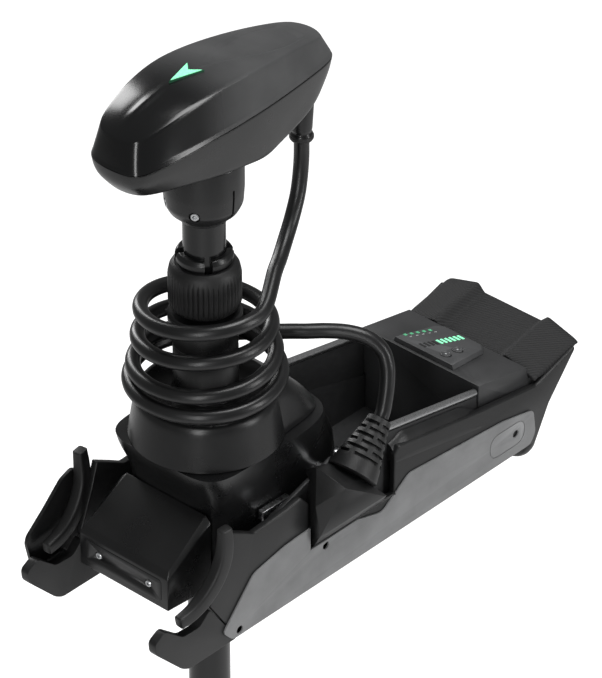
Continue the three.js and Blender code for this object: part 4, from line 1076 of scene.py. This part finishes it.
# ---------------------------------------------------------------- shaft, clamp and knob
def make_shaft():
    low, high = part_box("shaft_tube")
    bottom, top = low.z / MM, high.z / MM
    profile = [(SHAFT_R - 3, bottom), (SHAFT_R, bottom), (SHAFT_R, top), (SHAFT_R - 3, top)]
    tube_piece = turned("shaft_composite_tube", profile, "composite", segments=128)
    settle(tube_piece, ["shaft_tube"])


KNOB_RIBS = 44
KNOB_R = 32.4


def make_knob():
    per_rib = 8
    segments = KNOB_RIBS * per_rib
    bore = 23.9
    profile = [(bore, 293.2, 0), (28.4, 293.2, 0), (31.2, 296, 0.2), (KNOB_R, 299.5, 1), (KNOB_R, 306, 1),
               (KNOB_R, 314, 1), (KNOB_R, 322, 1), (KNOB_R, 327, 1), (KNOB_R - 0.6, 329.5, 0),
               (KNOB_R - 1.4, 333.5, 0),
               (KNOB_R - 3.2, 336.6, 0), (KNOB_R - 6, 338.8, 0), (bore, 338.8, 0)]
    rings = []
    for radius, z, ribbed in profile:
        ring = []
        for i in range(segments):
            angle = 2 * math.pi * i / segments
            wave = abs(math.sin(angle * KNOB_RIBS / 2)) ** 0.55
            r = radius - 1.25 * ribbed * (1 - wave)
            ring.append((r * math.cos(angle), r * math.sin(angle), z))
        rings.append(ring)
    knob = new_object("depth_knob_grip", [p for r in rings for p in r],
                      grid_faces(len(rings), segments, True, True), "rubber", 35)
    settle(knob, ["depth_knob"])


def make_collet():
    profile = [(19.3, 289.3), (23.5, 289.3), (23.5, 340), (25.4, 341.5), (25.8, 347), (23.4, 351),
               (19.3, 351)]
    collet = turned("depth_collet_fingers", rounded_profile(profile, 1.2), "satin", segments=128)
    cutters = []
    for i in range(4):
        slot = block("slot", (10, 60), (-3.5, 3.5), (311, 360), "black")
        centre = at(0, 0, 0)
        turn = Matrix.Rotation(math.radians(-38 + 90 * i), 4, "Z")
        slot.data.transform(Matrix.Translation(centre) @ turn @ Matrix.Translation(-centre))
        cutters.append(slot)
    carve(collet, *cutters)
    soften(collet, 30)
    settle(collet, ["depth_collet"])


def make_sleeve():
    profile = [(19.4, 120), (29, 120), (29, 204), (28, 206), (28, 209), (29, 211), (29, 250), (28, 252),
               (28, 254), (29, 256), (29, 273), (32.6, 278), (33, 279), (33, 286.5), (31, 288.8),
               (19.4, 288.8)]
    sleeve = turned("steering_sleeve_body", profile, "satin", segments=112)
    settle(sleeve, ["steering_sleeve"])


# ---------------------------------------------------------------- tower
HOOD_REAR = [(118, 128), (141, 114), (160, 104), (172, 96), (184, 86), (194, 75), (200, 66), (205, 52)]


def tower_ring(z, half, front, rear, power, count=112):
    """Plan outline at a height: squarer in front than behind."""
    ring = []
    for i in range(count):
        angle = 2 * math.pi * i / count
        c, s = math.cos(angle), math.sin(angle)
        exponent, depth = (5.0, front) if s <= 0 else (power, rear)
        r = (abs(c / half) ** exponent + abs(s / depth) ** exponent) ** (-1 / exponent)
        ring.append((r * c, r * s, z))
    return ring


def hood_ring(z, inset, count=112):
    """Plan of the hood: the round drum, with a narrower block running out behind it."""
    drum = 70 - (z - 160) * 7 / 45 - inset
    rear = interpolate(HOOD_REAR, z) - inset
    half = min(57.0, drum - 6) - 0.12 * (z - 160) - inset
    ring = []
    for i in range(count):
        angle = 2 * math.pi * i / count
        c, s = math.cos(angle), math.sin(angle)
        r = drum
        if s > 0 and rear > 1:
            behind = (abs(c / half) ** 5 + abs(s / rear) ** 5) ** -0.2
            blend = 4.0
            both = math.exp(drum / blend) + math.exp(behind / blend)
            r = blend * math.log(both) - blend * math.log(2) * 0.5
            r = max(drum, min(r, max(drum, behind)))
        ring.append((r * c, r * s, z))
    return ring


def make_tower():
    drum = []
    for z, inset in ((160.5, 3.0), (160.5, 1.0), (161.5, 0.0)):
        drum.append(hood_ring(z, inset))
    for z in range(166, 200, 4):
        drum.append(hood_ring(z, 0.0))
    for z, inset in ((201, 0.4), (203.5, 1.8), (204.8, 4.0), (205, 7.0)):
        drum.append(hood_ring(z, inset))
    drum.append(circle(31.0, 205, 112))
    drum.append(circle(30.4, 204, 112))
    hood = loft("tower_drum_hood", drum, "satin", 28)
    block_rings = []
    for z in (42, 60, 80, 96, 110, 118, 126, 136, 146, 154, 160.2):
        rear = interpolate([(42, 96), (92, 132), (118, 128), (141, 114), (160, 104)], z)
        half = 56 if z < 118 else 56 + (z - 118) * 0.26
        front = 52.0 if z < 118 else 52 + 12 * smoothstep(118, 161, z)
        block_rings.append(tower_ring(z, half, front, rear, 4.5))
    body = loft("tower_block", block_rings, "satin", 28)
    piece = joined("tower_casing", hood, body)
    soften(piece, 28)
    settle(piece, ["tower_housing"])


def make_nose():
    from_cad("nose_cover", "satin", 3.0, 4, 24.0)
    outline = [(-44, 52), (44, 52), (46, 55), (46, 73), (44, 76), (-44, 76), (-46, 73), (-46, 55)]
    inset = prism("nose_label_panel", outline, -108.4, -107.0, "y", "black", 0.3)
    holes = [rod("hole", (x, -112, 65), (x, -100, 65), 4.2, "black") for x in (-30.3, 30.3)]
    carve(inset, *holes)
    settle(inset, [], "tower")
    for i, x in enumerate((30.3, -30.3)):
        screw = screw_head(f"nose_screw_head_{i + 1}", (x, -105.8, 65), (0, -1, 0), 3.4, 3.0)
        settle(screw, [f"nose_screw_{i + 1}"])


# ---------------------------------------------------------------- deck mount
def make_channel():
    from_cad("base_channel", "channel", 0.7, 2)
    for side in (1, -1):
        name = "right" if side > 0 else "left"
        x = side * 70.0
        ends = [(x, y, rail_z(y)) for y in (140.5, 282.5)]
        rail = tube(f"rail_bead_{name}", smooth_path(ends, 20), round_section(3.6, 28), "rail")
        bevelled(rail, 0.8, 3, 50)
        if side > 0:
            room = rod("room", (89, 93, 105), (83.2, 142.7, 146.8), 24.3, "black")
            carve(rail, room)
            soften(rail, 40)
        settle(rail, [f"rail_{name}"])
    rivets = []
    for x in (-40, 40):
        for y in (150, 215, 270):
            profile = rounded_profile([(0, 5.5), (5.5, 5.5), (5.2, 7.4), (3, 8.4), (0, 8.6)], 0.8)
            rivets.append(turned(f"rivet_{x}_{y}", profile, "steel", (x, y), 32, closed=False))
    settle(joined("floor_rivets", *rivets), [], "base")
    make_bracket()


def make_bracket():
    """The round-topped plate beside the tower, fixed to the channel."""
    arch = [(34, 6), (34, 20)]
    for k in range(1, 12):
        angle = math.pi - math.pi * k / 12
        arch.append((52 + 18 * math.cos(angle), 20 + 16 * math.sin(angle)))
    arch += [(66, 20), (66, 6)]
    plate = prism("channel_bracket", [(min(x, 66), z) for x, z in arch], 236, 240, "y", "housing", 0.6)
    settle(plate, [], "base")


def make_fairing(name, side):
    """The ledge that rounds from under the rail out to the side panel's face."""
    rings = []
    for i in range(17):
        y = 160 + 118 * i / 16
        z = rail_z(y)
        end = smoothstep(160, 178, y) * (1 - smoothstep(258, 278, y))
        drop = 9 * (1 - end)
        section = [(72.4, z - 7 - drop), (74.5, z - 7.6 - drop), (78.2, z - 12 - drop), (81.4, z - 19 - drop),
                   (82.8, z - 29), (82.8, z - 32), (75.9, z - 34), (72.4, z - 33)]
        rings.append([(side * x, y, height) for x, height in section])
    settle(loft(f"panel_ledge_{name}", rings, "black", 40), [], "base")


def make_panels():
    for name in ("right", "left"):
        side = 1 if name == "right" else -1
        from_cad(f"side_panel_{name}", "black", 1.4, 3, 20.0)
        accent = from_cad(f"accent_panel_{name}", "accent", 0.45, 2, 20.0)
        groove = badge_groove(side)
        carve(accent, groove)
        soften(accent, 30)
        from_cad(f"ramp_hook_{name}", "black", 2.2, 4, 24.0)
        make_bumper(name, side)
        make_fairing(name, side)


def badge_groove(side):
    """The narrow outline of the empty badge place on the accent panel."""
    def outline(inset):
        return [(314 + u, 26 + v) for u, v in box_section(50 - 2 * inset, 26 - 2 * inset, 11 - inset)]
    face = 84.5
    outer, inner = outline(0.0), outline(1.1)
    rings = []
    for x, row in ((face + 1, outer), (face - 0.5, outer), (face - 0.5, inner), (face + 1, inner)):
        rings.append([(side * x, y, z) for y, z in row])
    return new_object("groove", [p for r in rings for p in r], grid_faces(4, len(outer), True, True), "black")


BUMPER_ROUTE = [(81, -123, 56), (82, -108, 59), (83, -93, 67), (84.5, -79, 82), (86, -71, 101),
                (87.5, -70, 119), (88, -71, 133)]


def bumper_swell(share):
    return 0.78 + 0.28 * math.sin(math.pi * min(max(share, 0.02), 0.98)) ** 0.6


def make_bumper(name, side):
    """Curved rubber rib that the stowed shaft runs up against."""
    points = smooth_path([(side * x, y, z) for x, y, z in BUMPER_ROUTE], 3.0)
    rib = tube(f"ramp_bumper_rib_{name}", points, box_section(12.0, 14.0, 3.0), "rubber", scale=bumper_swell)
    bevelled(rib, 1.0, 3, 50)
    settle(rib, [f"ramp_bumper_{name}"])


BOOT_BASE = Vector((89, 93, 105))
BOOT_TOP = Vector((84, 136, 141))
BOOT_BASE_R = 24.0
BOOT_TOP_R = 11.0
BOOT_ROWS = 6
BOOT_SLOT = 2.7


def make_boot():
    """Strain relief cone with staggered rows of slots and a plain skirt."""
    length = (BOOT_TOP - BOOT_BASE).length
    axis = (BOOT_TOP - BOOT_BASE).normalized()
    _, side, up = frames_along([BOOT_BASE, BOOT_TOP])[0]
    segments = 144
    skirt = 13.0
    pitch = (length - skirt - 3.0) / BOOT_ROWS
    levels = [0.0, 1.0, 6.0, skirt - 2]
    for row in range(BOOT_ROWS):
        start = skirt + row * pitch + 1.6
        levels += [start - 0.35, start, start + BOOT_SLOT, start + BOOT_SLOT + 0.35]
    levels += [length - 2.0, length - 0.5, length]
    rings = []
    for level in levels:
        share = level / length
        radius = BOOT_BASE_R + (BOOT_TOP_R - BOOT_BASE_R) * smoothstep(0.0, 1.0, share) * 0.35
        radius += (BOOT_TOP_R - BOOT_BASE_R) * share * 0.65
        if level in (0.0, length):
            radius -= 1.2
        ring = []
        for i in range(segments):
            angle = 2 * math.pi * i / segments
            depth = 0.0
            for row in range(BOOT_ROWS):
                start = skirt + row * pitch + 1.6
                if start - 0.01 <= level <= start + BOOT_SLOT + 0.01:
                    phase = (angle / (math.pi / 2) + (0.5 if row % 2 else 0.0)) % 1.0
                    depth = 3.2 * smoothstep(0.08, 0.12, phase) * (1 - smoothstep(0.88, 0.92, phase))
            r = radius - depth
            out = side * (r * math.cos(angle)) + up * (r * math.sin(angle))
            ring.append(tuple(BOOT_BASE + axis * level + out))
        rings.append(ring)
    boot = loft("cable_boot_cone", rings, "rubber", 45)
    settle(boot, ["cable_boot"])


def make_rear():
    from_cad("rear_housing", "housing", 2.0, 3, 22.0)
    from_cad("display_panel", "display", 0.9, 3, 22.0)
    make_display_marks()
    for i, node in enumerate(("display_button_1", "display_button_2")):
        low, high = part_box(node)
        centre = ((low + high) / 2) / MM
        x, y, top = centre.x, centre.y + DECK_CENTRE_Y, high.z / MM
        profile = [(0, top - 12), (4.9, top - 12), (4.9, top - 0.8), (4.1, top), (3.2, top - 0.5),
                   (0, top - 0.9)]
        cap = rounded_profile(profile, 0.4)
        button = turned(f"button_cap_{i + 1}", cap, "grey", (x, y), 48, closed=False)
        settle(button, [node])
        disc = [(0, top - 1.2), (0.9, top - 1.2), (0.9, top - 0.5), (0, top - 0.5)]
        # Button dot: white print with a painted glow.
        dot = turned(f"button_dot_{i + 1}", disc, "white_print_painted_glow", (x, y), 16, closed=False)
        settle(dot, [], body_of_node(node))


DISPLAY_RISE = 5.0


def display_z(y):
    return rail_z(y) + 6.3 + DISPLAY_RISE


def marker(name, place, direction, length, width, look):
    """A thin plate lying on the sloping display face."""
    along = Vector((direction[0], direction[1])).normalized()
    across = Vector((-along.y, along.x))
    centre = Vector(place)
    verts = []
    for lift in (-0.3, 0.35):
        for a, b in ((-1, -1), (1, -1), (1, 1), (-1, 1)):
            p = centre + along * (a * length / 2) + across * (b * width / 2)
            verts.append((p.x, p.y, display_z(p.y) + lift))
    faces = [(0, 1, 2, 3), (7, 6, 5, 4), *grid_faces(2, 4)]
    return new_object(name, verts, faces, look)


def make_display_marks():
    dots, marks, bars, dark = [], [], [], []
    for i in range(5):
        t = i / 4
        place = (-32 + 7 * t, 302 + 27 * t)
        dots.append(marker(f"dot_{i}", place, (0, 1), 3.2, 3.2, "dim_green"))
        # Ticks: white print with a painted glow.
        marks.append(marker(f"tick_{i}", (place[0] + 5.5, place[1] + 1.5), (0.3, 1), 2.4, 0.8, "white_print_painted_glow"))
    for i in range(10):
        t = i / 9
        place = (-8 + 9.5 * t, 299 + 43 * t)
        group = dark if i < 4 else bars
        group.append(marker(f"bar_{i}", place, (1, 0), 8.0, 2.6, "black" if i < 4 else "green"))
    settle(joined("status_dots", *dots), [], "base")
    settle(joined("status_ticks", *marks), [], "base")
    settle(joined("level_bars_lit", *bars), [], "base")
    settle(joined("level_bars_dark", *dark), [], "base")


PAD_FRONT_Y, PAD_REAR_Y, PAD_HALF = 357.0, 419.5, 79.5


def pad_top(x, y):
    """Height of the pad's top: it rises to the stern and dips in the middle."""
    share = (y - PAD_FRONT_Y) / (PAD_REAR_Y - PAD_FRONT_Y)
    high = 82 + 12 * share - 10.5 * max(0.0, (abs(x) - 44) / 36)
    dip = 1 - smoothstep(33 + share, 44, abs(x))
    return high - 7.6 * dip


def make_pad():
    columns, rows = 61, 15
    top, bottom = [], []
    for i in range(rows):
        share = i / (rows - 1)
        y = PAD_FRONT_Y + (PAD_REAR_Y - PAD_FRONT_Y) * share
        for j in range(columns):
            x = -PAD_HALF + 2 * PAD_HALF * j / (columns - 1)
            lip = 2.0 * (1 - smoothstep(0.0, 0.12, share)) + 1.8 * smoothstep(0.9, 1.0, share)
            edge = 1.2 * smoothstep(PAD_HALF - 4, PAD_HALF, abs(x))
            top.append((x, y, pad_top(x, y) - lip - edge))
            bottom.append((x, y, min(68 + 12 * smoothstep(0.65, 1.0, share), top[-1][2] - 2)))
    verts = top + bottom
    offset = rows * columns
    faces = grid_faces(rows, columns, False)
    faces += [tuple(offset + k for k in reversed(f)) for f in grid_faces(rows, columns, False)]
    border = [j for j in range(columns)]
    border += [i * columns + columns - 1 for i in range(1, rows)]
    border += [(rows - 1) * columns + j for j in reversed(range(columns - 1))]
    border += [i * columns for i in reversed(range(1, rows - 1))]
    for a, b in zip(border, border[1:] + border[:1]):
        faces.append((a, b, offset + b, offset + a))
    pad = new_object("foot_pad_mat", verts, faces, "pad", 45)
    bevelled(pad, 1.4, 3, 40)
    soften(pad, 50)
    settle(pad, ["foot_pad"])


# ---------------------------------------------------------------- drive unit
def along_pod(obj):
    """Turns a body made upright on the shaft axis so that its height runs along +Y at the pod."""
    centre = at(0, 0, 0)
    turn = Matrix.Translation(at(0, 0, POD_Z)) @ Matrix.Rotation(math.radians(-90), 4, "X")
    obj.data.transform(turn @ Matrix.Translation(-centre))
    return obj


def make_drive():
    shell = along_pod(turned("drive_shell", rounded_profile(
        [(0, -118), (POD_R, -118), (POD_R, -100), (POD_R - 0.7, -99), (POD_R - 0.7, -97.5), (POD_R, -96.5),
         (POD_R, 128), (0, 128)], 0.8), "satin", closed=False))
    top = POD_Z + POD_R
    neck_profile = [(0, top - 20), (33, top - 7), (29, top + 8), (26, top + 20), (23.4, top + 58),
                    (22.4, top + 60), (0, top + 60)]
    neck = turned("neck", rounded_profile(neck_profile, 4.0), "satin", closed=False)
    skeg_rings = []
    skeg_levels = ((top - 88, -42, 94, 4.2), (top - 110, -12, 92, 3.4), (top - 135, 30, 88, 2.6),
                   (top - 151, 52, 84, 1.8), (top - 155.5, 60, 78, 0.8))
    for z, front, rear, half in skeg_levels:
        ring = []
        for k in range(40):
            angle = 2 * math.pi * k / 40
            along = 0.5 - 0.5 * math.cos(angle)
            y = front + (rear - front) * along
            thick = half * math.sin(angle) * (1.25 - 0.5 * along)
            ring.append((thick, y, z))
        skeg_rings.append(ring)
    skeg = loft("skeg", skeg_rings, "satin", 40)
    piece = joined("drive_housing_shell", shell, neck, skeg)
    soften(piece, 30)
    settle(piece, ["drive_housing"])
    nose = []
    for i in range(25):
        angle = math.pi / 2 * i / 24
        nose.append((POD_R * math.cos(angle) ** 0.9 if i < 24 else 0.02, -118.3 - 72 * math.sin(angle)))
    cone = turned("drive_nose", [(0, -118.3), *nose], "satin", closed=False, smooth_angle=40)
    settle(along_pod(cone), ["drive_nose_cone"])
    bell = [(6.4, 118), (39.7, 118), (39.7, 128.3), (45, 128.3), (44.4, 133), (41, 138), (37, 141.6),
            (18, 142), (16, 139), (6.4, 139)]
    settle(along_pod(turned("drive_end_bell_cap", rounded_profile(bell, 1.5), "satin")), ["drive_end_bell"])
    make_propeller()


def make_propeller():
    hub_profile = [(6.3, 148), (27, 148), (29.5, 150), (30, 153), (30, 188), (28.5, 196), (24, 204),
                   (20, 206), (6.3, 206)]
    hub = along_pod(turned("hub", rounded_profile(hub_profile, 1.5), "black"))
    blades = []
    for n in range(3):
        rings = []
        for i in range(15):
            t = i / 14
            r = 26 + (129.3 - 26) * t
            chord = 40 + 46 * math.sin(math.pi * min(t * 1.05, 1)) ** 0.8 - 22 * t ** 4 - 12 * t
            chord = max(chord * (1 - 0.75 * smoothstep(0.88, 1.0, t)), 8)
            pitch = math.radians(58 - 34 * t)
            thick = (3.6 * (1 - t) + 1.1) * (1 - 0.5 * smoothstep(0.9, 1, t))
            rake = 4 * t
            ring = []
            for k in range(28):
                angle = 2 * math.pi * k / 28
                along = -0.5 * math.cos(angle) * chord
                across = thick * math.sin(angle)
                x = along * math.cos(pitch) - across * math.sin(pitch)
                y = along * math.sin(pitch) + across * math.cos(pitch)
                ring.append((x, y + 175 + rake, r))
            turn = 2 * math.pi * n / 3
            placed = []
            for x, y, z in ring:
                bend = x / z
                px, pz = z * math.sin(bend), z * math.cos(bend)
                placed.append((px * math.cos(turn) + pz * math.sin(turn), y,
                               POD_Z + pz * math.cos(turn) - px * math.sin(turn)))
            rings.append(placed)
        blades.append(loft(f"blade_{n}", rings, "black", 40))
    prop = joined("propeller_cast", hub, *blades)
    soften(prop, 35)
    settle(prop, ["propeller"])
    from_cad("propeller_nut", "steel", 0.8, 3, 40)


# ---------------------------------------------------------------- the whole
def make_everything():
    make_coil_cable()
    make_power_cable()
    make_head()
    make_gland()
    make_collar()
    make_shaft()
    make_knob()
    make_collet()
    make_sleeve()
    make_tower()
    make_nose()
    make_channel()
    make_panels()
    from_cad("cable_boss", "black", 2.6, 4, 18.0)
    make_boot()
    make_rear()
    make_pad()
    make_drive()
    from_cad("stow_latch", "steel", 0.8, 2)


CARRIED = {
    "display_board": "board", "head_board": "board", "tilt_pin": "steel", "steering_motor": "steel",
    "steering_pinion": "brass", "drive_gear": "brass", "guide_bush": "grey", "motor_stator": "copper",
    "rotor_shaft": "steel", "drive_pin": "steel",
}

make_everything()
for node, look in CARRIED.items():
    carried = frame["nodes"][node]
    carried.data.materials.clear()
    carried.data.materials.append(LOOKS[look])
